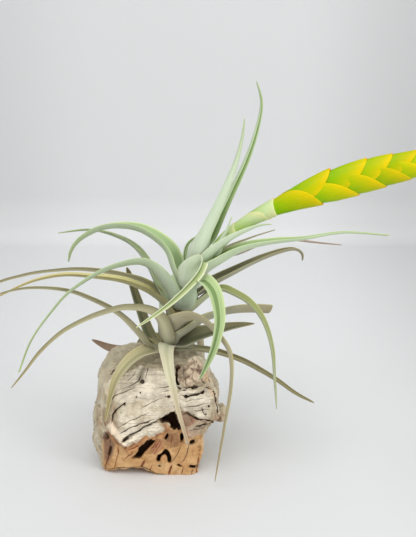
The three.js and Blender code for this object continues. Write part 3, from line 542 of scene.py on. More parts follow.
leaves = [
    dict(
        node="leaf_tall_back", family="banded", slot="leaf_green", facing=140, roll=-14, width=17,
        sheath=18, fold=75, taper=0.75,
        route=[
            (21, 5, 121), (28, 7, 137), (37, 9, 157.5), (50, 12, 185.5), (57.5, 14, 207.5),
            (60, 14, 222.5), (57, 13, 235)]),
    dict(
        node="leaf_tall_front", family="silver", facing=262, width=11.5, sheath=24, fold=50, taper=0.9,
        clasp=0.3,
        route=[
            (18.5, -5, 124.5), (23, -8, 139), (29.5, -7, 153.5), (37, -5, 169.5), (44.5, -2, 188.5),
            (48.5, 0, 204), (50, 2, 215)]),
    dict(
        node="leaf_young", family="silver", facing=230, taper=1.6, width=11, sheath=8, fold=60,
        route=[(32.5, -5, 132.5), (36, -7, 143), (40, -7, 151.5), (43, -6, 159)]),
    dict(
        node="leaf_inner_left", family="silver", facing=150, width=10, sheath=12, fold=60,
        route=[(16.7, 3.3, 119), (14.5, 6, 129.5), (16, 9, 137.5), (22, 12, 142)]),
    dict(
        node="leaf_upper_right_short", family="silver", facing=300, width=14, sheath=20, fold=60,
        taper=0.9,
        route=[
            (23, -5, 124.5), (29.5, -8, 135.5), (39.5, -11, 145.5), (51.5, -14, 153),
            (59.5, -16, 156.5), (65.5, -18, 157.5)]),
    dict(
        node="leaf_upper_right_long", family="green", facing=335, roll=-6, width=28, sheath=26, fold=65,
        taper=1.6, tip=2,
        route=[
            (24, -2, 118.5), (33, -5, 130), (46.5, -8, 139.5), (64, -11, 145), (85, -15, 148.5),
            (107.5, -18, 152.5), (132.5, -22, 152)]),
    dict(
        node="leaf_back_right", family="olive", facing=45, taper=1.2, width=6, sheath=12, fold=65,
        route=[(24, 5, 121), (38, 14, 132.5), (55, 26, 136.5), (71.5, 40, 138)]),
    dict(
        node="leaf_right_dried", family="dry", facing=25, width=8, sheath=14, fold=70,
        route=[
            (24, 3, 121), (36, 7, 129), (48, 10, 132), (57.5, 16, 134.4), (66, 22, 135.6),
            (80.5, 32, 133.6), (93.5, 38, 130.6), (115, 46, 126)]),
    dict(
        node="leaf_back_upper", family="green", facing=80, width=15, sheath=18, fold=62,
        route=[(18, 6, 114), (21, 16, 125), (24, 34, 128), (26, 56, 118), (27, 72, 99), (27, 80, 77)]),
    dict(
        node="leaf_left_arch", family="green", facing=172, roll=6, width=26, sheath=28, fold=68,
        taper=0.75,
        route=[
            (12.5, 2, 109.5), (10, 3, 123), (6, 6, 135), (-2.5, 10, 142), (-13, 14, 146.5),
            (-24.5, 18, 147), (-35, 21, 145), (-44.5, 23, 140.5), (-52, 24, 135), (-56.5, 24.5, 128.5),
            (-58.5, 25, 121)]),
    dict(
        node="leaf_front_narrow", family="edged", slot="leaf_silver", facing=255, width=11, sheath=26,
        fold=74, taper=0.75, crease=0.9, clasp=0.36,
        route=[
            (14.5, -9, 114.5), (19.5, -12, 129), (26, -16, 135.5), (24, -24, 130.5), (15, -34, 123),
            (3.5, -44, 115.5), (-11, -54, 108)]),
    dict(
        node="leaf_right_olive", family="olive", facing=5, roll=3, width=20, sheath=22, fold=60,
        taper=0.7,
        route=[
            (21.5, 1, 106), (30, 2, 114.5), (43.5, 5, 121), (56.5, 8, 127), (70, 11, 131.5),
            (81.5, 14, 133), (86.5, 15, 129.5), (86.5, 15, 125)]),
    dict(
        node="leaf_left_back", family="shaded", slot="leaf_silver", facing=150, roll=-12, width=13,
        sheath=18, fold=65,
        route=[
            (6.5, 5, 99), (-0.5, 8, 110), (-7, 14, 122), (-15, 20, 132), (-26.5, 27, 137),
            (-44.5, 36, 139), (-67.5, 46, 134)]),
    dict(
        node="leaf_left_silver", family="shaded", slot="leaf_silver", facing=195, roll=-35, width=20,
        sheath=24, fold=68, taper=1.7, clasp=0.15, tip=2,
        route=[
            (7, -3, 101), (4.5, -6, 116), (-2.5, -9, 127.5), (-10.5, -12, 133), (-22, -16, 132.5),
            (-34.5, -20, 129), (-51, -24.5, 119.5), (-62.5, -27, 107), (-74.5, -29, 90),
            (-82.5, -30, 70.5)]),
    dict(
        node="leaf_front_droop", family="grooved", slot="leaf_green", facing=285, roll=-28, crease=0.9,
        width=17, sheath=28, fold=66, taper=0.62,
        route=[
            (14.5, -8, 100), (18, -14, 115), (24.5, -22, 125.5), (31, -30, 123), (34, -34, 115.5),
            (35, -37, 104.5), (32.5, -39, 91.5), (28.5, -39.5, 81), (23.5, -39, 69.5)]),
    dict(
        node="leaf_back_middle", family="silver", facing=100, width=14, sheath=18, fold=62,
        route=[(10, 8, 97), (8, 22, 108), (4, 42, 107), (0, 60, 95), (-3, 74, 75), (-4, 80, 53)]),
    dict(
        node="leaf_right_arch", family="faded", slot="leaf_olive", facing=345, width=14, sheath=22,
        fold=65, clasp=0.12,
        route=[
            (16.5, -3, 95.5), (25, -4, 107), (35.5, -6, 114.5), (44.5, -9, 112.5), (54, -12, 107),
            (62, -15, 96.5), (67, -19, 81), (69, -21, 60.5), (70.5, -22, 42.5)]),
    dict(
        node="leaf_left_olive", family="striped", slot="leaf_olive", facing=172, roll=-10, width=12,
        sheath=20, fold=65, taper=0.7, clasp=0.12,
        route=[
            (3, 2, 96.5), (-1.5, 3, 109.5), (-9, 5, 115), (-20.5, 8, 118), (-36, 11, 120),
            (-55.5, 15, 120), (-75, 19, 117), (-88.5, 22, 113), (-102, 25, 108), (-125.5, 28, 97)]),
    dict(
        node="leaf_left_golden", family="golden", slot="leaf_tan", facing=187, roll=-10, width=18,
        sheath=22, fold=65, taper=1.1, clasp=0.12,
        route=[
            (7, 0, 90.5), (3, -2, 103.5), (-5, -4, 111.5), (-13.5, -6, 116.5), (-23.5, -8, 120.5),
            (-39.5, -10, 123.5), (-55, -12, 125.5), (-69, -15, 124), (-81, -17, 120), (-100, -20, 111)]),
    dict(
        node="leaf_back_long", family="olive", facing=85, width=12, sheath=16, fold=65,
        route=[
            (8, 5.5, 86), (10, 19, 99), (11, 40, 104), (11, 62, 96), (10, 80, 80), (9, 92, 60),
            (8, 98, 38)]),
    dict(
        node="leaf_right_cut", family="olive", facing=12, clasp=0.2, roll=15, width=20, sheath=16,
        fold=60, blunt=0.8,
        route=[
            (6, -7.5, 77.5), (10.5, -7, 84.2), (18, -3, 89.5), (27, 2, 93), (39.3, 8, 94.6),
            (54, 14, 94), (67.2, 19.4, 91.7)]),
    dict(
        node="leaf_right_tan", family="tan", facing=320, roll=38, width=16, sheath=24, fold=60,
        taper=0.9, clasp=0.15,
        route=[
            (6.5, -6.5, 81), (6.2, -9, 89), (8.6, -11.5, 94.6), (14, -15, 98.8), (21, -19, 101.2),
            (28.5, -24.5, 99.8), (35.4, -30, 94.5), (41, -35, 87), (42.5, -38, 77), (41.5, -40, 62),
            (38.5, -41, 42), (36, -41, 25.5), (33, -41, 4)]),
    dict(
        node="leaf_left_lower", family="striped", slot="leaf_olive", facing=210, roll=-20, width=16,
        sheath=15, fold=65, taper=0.7, clasp=0.17,
        route=[
            (3.5, -8, 78.5), (3, -11, 87.5), (1.5, -12.5, 95.5), (-2, -14.5, 101.5), (-9, -17, 105.8),
            (-17, -20.5, 108), (-25, -24, 108.5), (-39.5, -29, 105), (-55.5, -34, 97.5), (-68, -38, 87),
            (-77, -41, 76), (-85, -43, 66.5)]),
    dict(
        node="leaf_back_upright", family="olive", facing=140, width=12, sheath=14, fold=60, taper=0.35,
        route=[(-4.6, 7, 72), (-9.4, 12, 80.5), (-14.2, 17, 93), (-18.6, 21, 106.5), (-22, 23, 118.5)]),
    dict(
        node="leaf_right_low_olive", family="olive", facing=345, roll=-24, width=23, sheath=18, fold=60,
        route=[(7.5, -4, 75.5), (16.5, -6, 81.5), (29, -9, 87.5), (43, -13, 92.5), (56.5, -17, 96)]),
    dict(
        node="leaf_back_right_low", family="tan", facing=60, width=13, sheath=16, fold=60,
        route=[(7.5, 5.8, 77), (13, 19, 83), (19, 35, 77), (23, 49, 58), (25, 57, 36), (26, 60, 17)]),
    dict(
        node="leaf_left_low", family="striped", slot="leaf_olive", facing=200, roll=-5, width=18,
        sheath=18, fold=65, taper=1.2,
        route=[
            (-3.5, -4, 72), (-9, -7, 80), (-15, -10, 90.5), (-24.5, -13, 101.5), (-39.5, -16, 111.5),
            (-54, -19, 118), (-74.5, -22, 120.5), (-91.5, -25, 118), (-106, -27, 112)]),
    dict(
        node="leaf_back_left_low", family="tan", facing=115, width=13, sheath=14, fold=60,
        route=[(-0.1, 5.3, 73.5), (-6, 17, 75), (-14, 32, 64), (-20, 43, 44), (-23, 49, 22)]),
    dict(
        node="leaf_right_low", family="browned", slot="leaf_olive", facing=350, roll=10, width=12,
        sheath=14, fold=65, taper=0.5,
        route=[
            (8.5, -1, 72.5), (18, -3, 74.5), (32, -6, 74), (48, -9.5, 70), (61.5, -12.5, 63.5),
            (71.5, -14.5, 58), (82, -18, 51.5), (93, -23, 47.5)]),
    dict(
        node="leaf_cork_left", family="straw", slot="leaf_tan", facing=215, width=17, sheath=16,
        fold=45, taper=0.9,
        route=[
            (-1, -7, 77.5), (-5.5, -14, 78), (-12.5, -20, 77.5), (-19, -26, 74), (-24.5, -30, 67.5),
            (-28, -32, 58.5), (-32.5, -33, 39.5)]),
    dict(
        node="leaf_cork_front", family="cream", facing=268, tip=2.4, width=13, sheath=13, fold=38,
        taper=1.5, clasp=0.16,
        route=[
            (5, -7, 78), (4.2, -13, 80.5), (4, -20, 80.3), (4.8, -27, 78), (6, -32, 72.3),
            (7.9, -35, 64.8), (10.6, -36.5, 52.7), (13.6, -37.2, 40), (16.9, -37, 26.6)]),
    dict(
        node="leaf_back_dry", family="dry", facing=150, roll=20, width=16, sheath=16, fold=55,
        taper=0.6,
        route=[(-9, 12, 67), (-19, 20, 62.5), (-29, 27, 60.5), (-37.5, 31, 61.5), (-47, 35, 65)]),
]


def smoothRoute(route, spacing):
    # a curve through every point, cut into steps of equal length
    points = [Vector(point) for point in route]
    ends = curveEnds(points)
    steps = leafBuild["routeSteps"]
    dense = [points[0]]
    for corners in zip(ends, ends[1:], ends[2:], ends[3:]):
        dense += [curvePoint(*corners, step / steps) for step in range(1, steps + 1)]
    lengths = [0.0]
    for start, end in zip(dense, dense[1:]):
        lengths.append(lengths[-1] + (end - start).length)
    count = max(8, round(lengths[-1] / spacing))
    placed = []
    at = 0
    for step in range(count + 1):
        wanted = lengths[-1] * step / count
        while at < len(dense) - 2 and lengths[at + 1] < wanted:
            at += 1
        share = (wanted - lengths[at]) / (lengths[at + 1] - lengths[at])
        placed.append(dense[at].lerp(dense[at + 1], share))
    return placed, lengths[-1]


def leafFrames(points, facing, roll):
    # directions along the leaf, across it, and toward its inner face
    along = []
    for i in range(len(points)):
        along.append((points[min(i + 1, len(points) - 1)] - points[max(i - 1, 0)]).normalized())
    back = Vector((math.cos(math.radians(facing)), math.sin(math.radians(facing)), 0))
    across = back.cross(Vector((0, 0, 1)))
    frames = []
    for i, direction in enumerate(along):
        if i:
            across = along[i - 1].rotation_difference(direction) @ across
        across = (across - direction * across.dot(direction)).normalized()
        turned = Matrix.Rotation(-math.radians(roll), 3, direction) @ across
        frames.append((direction, turned, turned.cross(direction)))
    return frames


stemFoot = Vector(stemShape["foot"])
stemRise = Vector(stemShape["top"]) - stemFoot
stemUp = stemRise.normalized()


def claspFrame(point, across):
    # the stem's middle beside the leaf's foot, the way out of it, and the way round it
    centre = stemFoot + stemUp * (point - stemFoot).dot(stemUp)
    outward = point - centre
    radius = outward.length
    outward = outward.normalized()
    around = stemUp.cross(outward)
    if around.dot(across) < 0:
        around = -around
    return centre, outward, around, radius


def makeLeaf(leaf, index):
    width, sheath, fold = leaf["width"], leaf["sheath"], math.radians(leaf["fold"])
    taper, clasp, blunt = leaf.get("taper", 0.8), leaf.get("clasp", 0.2), leaf.get("blunt", 0)
    tip, crease = leaf.get("tip", leafBuild["tip"]), leaf.get("crease", leafBuild["crease"])
    points, length = smoothRoute(leaf["route"], leafBuild["rowLength"])
    frames = leafFrames(points, leaf["facing"], leaf.get("roll", 0))
    clasps = [claspFrame(point, frame[1]) for point, frame in zip(points, frames)]
    rows = len(points) - 1
    seed = index * 13.7 + leafBuild["seed"]
    level = random.Random(index + leafBuild["seed"]).uniform(-1, 1)

    bm = bmesh.new()
    bmesh.ops.create_grid(bm, x_segments=leafBuild["across"], y_segments=rows, size=0.5)
    space = bm.verts.layers.float_vector.new("leafSpace")
    shares = bm.verts.layers.float_vector.new("leafShare")
    wall = bm.verts.layers.deform.verify()
    for vertex in bm.verts:
        u, t = 2 * vertex.co.x, vertex.co.y + 0.5
        row = min(round(t * rows), rows)
        t = row / rows
        point, (along, across, inward) = points[row], frames[row]
        centre, outward, around, reach = clasps[row]
        run = length * t
        foot = 1 - smooth(0, clasp, t)
        tail = smooth(leafBuild["tailStart"], 1, t)
        flat = width * mix(1, blunt, t) if blunt else width * (1 - t) ** taper + tip * tail
        half = mix(fold, math.radians(leafBuild["tailRoll"]), tail)
        radius = flat / (2 * half)
        bend = run / leafBuild["wobbleLength"]
        wobble = Vector((noise.noise(Vector((bend, seed, 0))), 0, noise.noise(Vector((bend, seed, 9)))))
        ripple = noise.noise(Vector((run / leafBuild["rippleLength"], seed, 20 + 5 * u)))
        lift = ripple * leafBuild["ripple"] * u * u * smooth(0, leafBuild["rippleWidth"], flat)
        grown = smooth(0, leafBuild["creaseGrown"], t)
        deep = radius * (1 - math.cos(half))
        hollow = mix(radius * (1 - math.cos(half * u)), deep * abs(u), crease * grown)
        blade = (point + across * radius * math.sin(half * u) + inward * (hollow - deep / 2 + lift)
                 + (across * wobble.x + inward * wobble.z) * leafBuild["wobble"] * grown)
        wrap = sheath / (2 * max(reach, leafBuild["smallestReach"]))
        wrap = min(wrap, math.radians(leafBuild["widestWrap"]))
        rise = smooth(0, leafBuild["footRise"], run)
        wrap *= mix(leafBuild["footWrap"], 1, math.sqrt(min(run / leafBuild["footRise"], 1)))
        tuck = reach * mix(leafBuild["footTuck"], 1, rise)
        clasped = centre + outward * tuck * math.cos(wrap * u) + around * tuck * math.sin(wrap * u)
        vertex.co = blade.lerp(clasped, foot) * mm
        vertex[space] = Vector((u * mix(flat, sheath, foot) / 2, run, seed))
        vertex[shares] = Vector((u, t, level))
        vertex[wall][0] = mix(1, leafBuild["marginShare"], abs(u) ** 2) * mix(1, leafBuild["endWall"], t)
    bm.normal_update()
    bm.verts.ensure_lookup_table()
    halfway = points[rows // 2] * mm
    middle = min(bm.faces, key=lambda face: (face.calc_center_median() - halfway).length)
    if middle.normal.dot(frames[rows // 2][2]) > 0:
        bmesh.ops.reverse_faces(bm, faces=bm.faces)
    for face in bm.faces:
        face.smooth = True
    words = leaf["node"].split("_")
    name = words[0] + "".join(word.capitalize() for word in words[1:])
    piece = finishMesh(bm, name, leafMaterials[leaf["family"]])
    piece.vertex_groups.new(name="wall")
    solid = piece.modifiers.new("thickness", "SOLIDIFY")
    solid.thickness = leafBuild["thickness"] * mm
    solid.offset = 0
    solid.vertex_group = "wall"
    solid.material_offset = 1
    solid.material_offset_rim = 2
    addRounding(piece)
    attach(piece, "root")
    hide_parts(leaf["node"])


for index, leaf in enumerate(leaves):
    makeLeaf(leaf, index)
print("leaves made")


# stem and stalk: tubes drawn along a line

def addTube(bm, sides, rows, place):
    # place(share, angle) gives a point of the surface in millimetres
    bmesh.ops.create_cone(bm, cap_ends=True, cap_tris=False, segments=sides, radius1=1, radius2=1, depth=1)
    uprights = [edge for edge in bm.edges if abs(edge.verts[0].co.z - edge.verts[1].co.z) > 0.5]
    bmesh.ops.subdivide_edges(bm, edges=uprights, cuts=rows - 1)
    for vertex in bm.verts:
        vertex.co = place(vertex.co.z + 0.5, math.atan2(vertex.co.y, vertex.co.x)) * mm


stemFinish = {"base": (142, 128, 98), "dark": (96, 80, 58), "pale": (186, 176, 150)}


def stemMaterial():
    material, tree, shader = newMaterial("woodyStem")
    place = tree.nodes.new("ShaderNodeTexCoord").outputs["Object"]
    rings = noiseValue(tree, stretched(tree, place, (120, 120, 900)), 1.0, 3.0, 0.6)
    fibres = noiseValue(tree, stretched(tree, place, (1400, 1400, 160)), 1.0, 3.0, 0.6)
    colour = mixColours(tree, remap(tree, rings, 0.4, 0.65), tone(*stemFinish["base"]),
                        tone(*stemFinish["dark"]))
    colour = mixColours(tree, remap(tree, fibres, 0.55, 0.75), colour, tone(*stemFinish["pale"]))
    finishSurface(tree, shader, colour, remap(tree, fibres, 0.2, 0.8, 0.6, 0.9), fibres, 0.6, 0.0004)
    return material


def makeStem():
    side = stemUp.cross(Vector((0, 1, 0))).normalized()
    front = stemUp.cross(side).normalized()

    def place(share, angle):
        radius = mix(stemShape["footRadius"], stemShape["topRadius"], share)
        slant = stemShape["scarSlant"] * math.sin(angle)
        scars = abs(math.sin(share * stemShape["scars"] * math.pi + slant))
        spot = Vector((2 * math.cos(angle), 2 * math.sin(angle), share * stemShape["roughRate"]))
        radius += stemShape["scarDepth"] * scars + stemShape["roughDepth"] * noise.noise(spot)
        along = stemRise * share + side * radius * math.cos(angle) + front * radius * math.sin(angle)
        return stemFoot + along

    bm = bmesh.new()
    addTube(bm, stemShape["sides"], stemShape["rings"], place)
    smoothTube(bm)
    piece = finishMesh(bm, "woodyStem", [stemMaterial()])
    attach(piece, "root")
    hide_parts("stem")


makeStem()

# flower spike: two ranks of tight bracts round a stalk, below and above in turn

spike = {
    # the spike's middle line, with the half height and half depth of the bracts round it
    "axis": [
        ((25, 0, 127), 3.4, 3.4), ((33.5, -1, 138), 3.5, 3.5), ((41, -2, 146.5), 3.5, 3.5),
        ((52.4, -2.5, 155.3), 3.9, 3.7), ((60.2, -3.3, 160), 4.5, 4.1), ((69.3, -4.2, 164.4), 5.5, 4.5),
        ((81.2, -5, 170.3), 7.5, 5.1), ((100, -6, 177.5), 9.8, 5.7), ((119, -7, 183.5), 9.8, 5.7),
        ((133.5, -8, 187.5), 8.9, 5.3), ((147.5, -9, 191), 7.7, 4.8), ((166.5, -10, 195.5), 5.6, 3.7),
        ((183, -11, 199), 3.4, 2.7), ((192, -11.8, 201.1), 1.7, 1.5), ((196, -12, 202), 0.5, 0.5),
    ],
    "stalkBracts": dict(tips=(33, 53, 59.5), ranks=(1, -1, 1), blunts=(6, 3.5, 14), length=28, wrap=186),
    "flowerBracts": dict(tips=(85, 95, 107, 116, 123.5, 130.5, 138.5, 144, 151, 156, 162, 167),
                         firstLength=34, lastLength=24, wrap=132, firstWrap=184, blunt=1.8),
    "endBracts": dict(tips=(171, 174.5, 179, 182, 185.5, 187.5, 189.5), firstLength=18,
                      lastLength=12, wrap=130, blunt=1.8),
    "closedBracts": 2,          # the last ones, whose tips meet on the middle line
    "closeStart": 0.55,
    "closeShare": 0.94,
    "innerBud": dict(start=166, end=188.8, fill=0.72, sides=20, rings=14),
    "footShare": 0.8,
    "tipShare": 1.0,
    "upperInset": 0.05,
    "belly": 0.05,
    "overlap": 0.03,            # one margin lies over the other
    "keel": 0.07,
    "thickness": 0.45,
    "across": 18,
    "rows": 16,
    "stalkRadius": 1.3,
    "stalkEndRadius": 0.7,
    "stalkInset": 24,
    "stalkSides": 20,
    "stalkRows": 60,
    "pathSteps": 40,
}


def readSpikeAxis():
    # points along the axis with their length so far and the envelope's half sizes there
    rows = spike["axis"]
    points = [Vector(row[0]) for row in rows]
    ends = curveEnds(points)
    path = [(points[0], 0.0, rows[0][1], rows[0][2])]
    for index in range(len(points) - 1):
        for step in range(1, spike["pathSteps"] + 1):
            t = step / spike["pathSteps"]
            point = curvePoint(*ends[index:index + 4], t)
            high = mix(rows[index][1], rows[index + 1][1], t)
            deep = mix(rows[index][2], rows[index + 1][2], t)
            path.append((point, path[-1][1] + (point - path[-1][0]).length, high, deep))
    return path


spikePath = readSpikeAxis()
spikeLength = spikePath[-1][1]


def spikeAt(length):
    length = min(max(length, 0.0), spikeLength)
    at = 0
    while at < len(spikePath) - 2 and spikePath[at + 1][1] < length:
        at += 1
    first, second = spikePath[at], spikePath[at + 1]
    share = (length - first[1]) / (second[1] - first[1])
    along = (second[0] - first[0]).normalized()
    side = (Vector((0, -1, 0)) + along * along.y).normalized()
    return first[0].lerp(second[0], share), side, side.cross(along).normalized(), \
        mix(first[2], second[2], share), mix(first[3], second[3], share)


def addBract(bm, tip, length, rank, wrap, blunt, seed, close=0.0):
    layers = bm.verts.layers.float_vector
    space = layers.get("bractSpace") or layers.new("bractSpace")
    shares = layers.get("bractShare") or layers.new("bractShare")
    before = set(bm.faces)
    rows = spike["rows"]
    verts = bmesh.ops.create_grid(bm, x_segments=spike["across"], y_segments=rows, size=0.5)["verts"]
    level = random.Random(seed).uniform(-1, 1)
    places = [spikeAt(tip - length * (1 - row / rows)) for row in range(rows + 1)]
    for vertex in verts:
        u = 2 * vertex.co.x
        row = min(round((vertex.co.y + 0.5) * rows), rows)
        t = row / rows
        centre, side, up, high, deep = places[row]
        fill = mix(spike["footShare"], spike["tipShare"], t) + spike["belly"] * math.sin(math.pi * t)
        fill += spike["overlap"] * u - (spike["upperInset"] if rank > 0 else 0)
        fill *= 1 - close * smooth(spike["closeStart"], 1, t)
        half = math.radians(wrap) * math.sqrt(max(1 - t ** blunt, 0.002))
        ridge = 1 + spike["keel"] * math.exp(-(u * 4) ** 2) * t
        wave = 0.12 * noise.noise(Vector((t * 4, u * 3, seed * 3.1)))
        vertex.co = (centre + up * rank * (high * fill * ridge + wave) * math.cos(half * u)
                     + side * (deep * fill * ridge + wave) * math.sin(half * u)) * mm
        vertex[space] = Vector((u * half * deep, length * t, seed))
        vertex[shares] = Vector((u, t, level))
    made = [face for face in bm.faces if face not in before]
    bm.normal_update()
    middle = places[rows // 2]
    crown = middle[0] + middle[2] * rank * middle[3]
    crest = min(made, key=lambda face: (face.calc_center_median() / mm - crown).length)
    if crest.normal.dot(middle[2] * rank) < 0:
        bmesh.ops.reverse_faces(bm, faces=made)
    for face in made:
        face.smooth = True


def makeBractSkin():
    tree, given, put = newGroup("bractSkin", [
        ("Space", "vector"), ("Share", "vector"), ("Foot Colour", "colour"), ("Body Colour", "colour"),
        ("Edge Colour", "colour"), ("Tip Colour", "colour"), ("Body Start", "value"),
        ("Edge Start", "value"),
    ], [("Colour", "colour"), ("Roughness", "value"), ("Height", "value")])
    share = addNode(tree, "ShaderNodeSeparateXYZ", {0: given["Share"]}).outputs
    spread = calculate(tree, "MULTIPLY", share[0], share[0])
    # runs from 0 at the foot's middle to 1 along the free edge
    reach = calculate(tree, "MULTIPLY_ADD", spread, 0.5, share[1])
    mottle = noiseValue(tree, stretched(tree, given["Space"], (0.35, 0.12, 1)), 1.0, 3.0, 0.6)
    nerves = noiseValue(tree, stretched(tree, given["Space"], (2.6, 0.05, 1)), 1.0, 3.0, 0.6)
    specks = noiseValue(tree, stretched(tree, given["Space"], (1.4, 0.9, 1)), 1.0, 1.0)
    reach = calculate(tree, "MULTIPLY_ADD", calculate(tree, "SUBTRACT", mottle, 0.5), 0.3, reach)
    body = addNode(tree, "ShaderNodeMapRange",
                   {0: reach, 1: given["Body Start"], 2: given["Edge Start"]}).outputs[0]
    edge = addNode(tree, "ShaderNodeMapRange", {0: reach, 1: given["Edge Start"], 2: 1.12}).outputs[0]
    tip = remap(tree, share[1], 0.95, 1.0)
    colour = mixColours(tree, body, given["Foot Colour"], given["Body Colour"])
    colour = mixColours(tree, edge, colour, given["Edge Colour"])
    colour = mixColours(tree, tip, colour, given["Tip Colour"])
    dark = mixColours(tree, 1.0, colour, (0.72, 0.78, 0.6, 1), "MULTIPLY")
    nerved = calculate(tree, "MULTIPLY", remap(tree, nerves, 0.45, 0.7), 0.35)
    colour = mixColours(tree, nerved, colour, dark)
    colour = mixColours(tree, calculate(tree, "MULTIPLY", remap(tree, specks, 0.74, 0.8), 0.6), colour,
                        tone(228, 228, 150))
    bright = calculate(tree, "MULTIPLY_ADD", share[2], 0.08, 1.0)
    level = addNode(tree, "ShaderNodeCombineColor", {0: bright, 1: bright, 2: bright}).outputs[0]
    tree.links.new(mixColours(tree, 1.0, colour, level, "MULTIPLY"), put["Colour"])
    tree.links.new(remap(tree, mottle, 0.3, 0.7, 0.34, 0.5), put["Roughness"])
    tree.links.new(nerves, put["Height"])
    return tree


bractSkin = makeBractSkin()
bractFinishes = {
    "flowerBract": dict(foot=(136, 180, 0), body=(184, 188, 0), edge=(218, 194, 0), tip=(226, 150, 0),
                        bodyStart=0.38, edgeStart=0.8),
    "stalkBract": dict(foot=(160, 190, 96), body=(194, 212, 156), edge=(214, 216, 156), tip=(228, 186, 140),
                       bodyStart=0.35, edgeStart=0.85),
}


def bractMaterial(name, finish):
    material, tree, shader = newMaterial(name)
    skin = addNode(tree, "ShaderNodeGroup", node_tree=bractSkin)
    for socket, attribute in (("Space", "bractSpace"), ("Share", "bractShare")):
        source = addNode(tree, "ShaderNodeAttribute", attribute_name=attribute)
        tree.links.new(source.outputs["Vector"], skin.inputs[socket])
    for socket, key in (("Foot Colour", "foot"), ("Body Colour", "body"), ("Edge Colour", "edge"),
                        ("Tip Colour", "tip")):
        skin.inputs[socket].default_value = tone(*finish[key])
    skin.inputs["Body Start"].default_value = finish["bodyStart"]
    skin.inputs["Edge Start"].default_value = finish["edgeStart"]
    finishSurface(tree, shader, skin.outputs["Colour"], skin.outputs["Roughness"], skin.outputs["Height"],
                  0.35, 0.0002)
    shader.inputs["Specular IOR Level"].default_value = 0.1
    return material


bractMaterials = {name: bractMaterial(name + "Skin", finish) for name, finish in bractFinishes.items()}


def finishBract(bm, name, material, node):
    piece = finishMesh(bm, name, [material])
    wall = piece.modifiers.new("thickness", "SOLIDIFY")
    wall.thickness = spike["thickness"] * mm
    wall.offset = 0
    addRounding(piece)
    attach(piece, "root")
    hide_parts(node)


def makeSpike():
    lower = spike["stalkBracts"]
    for index, (tip, rank, blunt) in enumerate(zip(lower["tips"], lower["ranks"], lower["blunts"])):
        bm = bmesh.new()
        addBract(bm, tip, lower["length"], rank, lower["wrap"], blunt, index + 40)
        finishBract(bm, f"stalkBract{index + 1}", bractMaterials["stalkBract"], f"stalk_bract_{index + 1}")
    flower = spike["flowerBracts"]
    for index, tip in enumerate(flower["tips"]):
        bm = bmesh.new()
        length = mix(flower["firstLength"], flower["lastLength"], index / (len(flower["tips"]) - 1))
        wrap = flower["wrap"] if index else flower["firstWrap"]
        addBract(bm, tip, length, 1 if index % 2 else -1, wrap, flower["blunt"], index + 60)
        finishBract(bm, f"flowerBract{index + 1}", bractMaterials["flowerBract"],
                    f"flower_bract_{index + 1}")
    core = spike["innerBud"]

    def placeCore(share, angle):
        centre, side, up, high, deep = spikeAt(mix(core["start"], core["end"], share))
        fill = core["fill"] * (1.02 - share ** 4)
        return centre + (up * high * math.cos(angle) + side * deep * math.sin(angle)) * fill

    ends = spike["endBracts"]
    bm = bmesh.new()
    addTube(bm, core["sides"], core["rings"], placeCore)
    bmesh.ops.recalc_face_normals(bm, faces=bm.faces)
    for index, tip in enumerate(ends["tips"]):
        length = mix(ends["firstLength"], ends["lastLength"], index / (len(ends["tips"]) - 1))
        close = spike["closeShare"] if index >= len(ends["tips"]) - spike["closedBracts"] else 0.0
        addBract(bm, tip, length, 1 if index % 2 else -1, ends["wrap"], ends["blunt"], index + 80, close)
    finishBract(bm, "flowerBud", bractMaterials["flowerBract"], "flower_bud")

    def place(share, angle):
        centre, side, up, _, _ = spikeAt(share * (spikeLength - spike["stalkInset"]))
        radius = mix(spike["stalkRadius"], spike["stalkEndRadius"], share)
        return centre + up * radius * math.cos(angle) + side * radius * math.sin(angle)

    bm = bmesh.new()
    addTube(bm, spike["stalkSides"], spike["stalkRows"], place)
    smoothTube(bm)
    piece = finishMesh(bm, "flowerStalk", [bractMaterials["stalkBract"]])
    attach(piece, "root")
    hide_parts("flower_stalk")


makeSpike()
print("spike made")


# cork bark: weathered plates over an orange-brown cut face, with hollows, cracks and torn layers.
# Places on its front are given as (x, seen height): the height that a point shows to a viewer who
# looks down a little, where ground toward the front reads lower.

cork = {
    # height, then where the left, right, front and back lie
    "levels": [
        (0, -37.4, 23.6, -26, 25), (3, -39, 24.2, -26.5, 27), (10, -41, 24.2, -27.2, 29),
        (20, -42, 24.2, -27.6, 30), (26, -42, 25.5, -29, 31), (31, -41.5, 31.5, -30, 31),
        (36, -41, 35, -30, 31), (42, -40, 34.5, -29.5, 30), (50, -39, 31.5, -28, 28.5),
        (58, -38, 28.5, -25, 26), (64, -35.5, 26, -20, 24), (68.5, -29, 21, -13, 21),
        (70, -13, 11, -5, 8),
    ],
    "squareness": 0.5,          # 1 is round, 0 square
    "cutSquareness": 0.26,      # at the cut face's right corner
    "sides": 64,
    "rows": 40,
    "seenSlope": 0.325,
    "voxel": 0.62,
    "plateSheet": (84, 74),     # mm across and up that a plate is cut from
    "plateCell": 0.9,
    "cutterFront": -46,         # cutters run straight from here to the surface, then narrow
    "cutterSurface": -28,
    "grainTurn": 23,            # degrees that the weathered grain climbs toward the right
    "bandWidth": 2.4,           # mm between the plates' thin layers
}
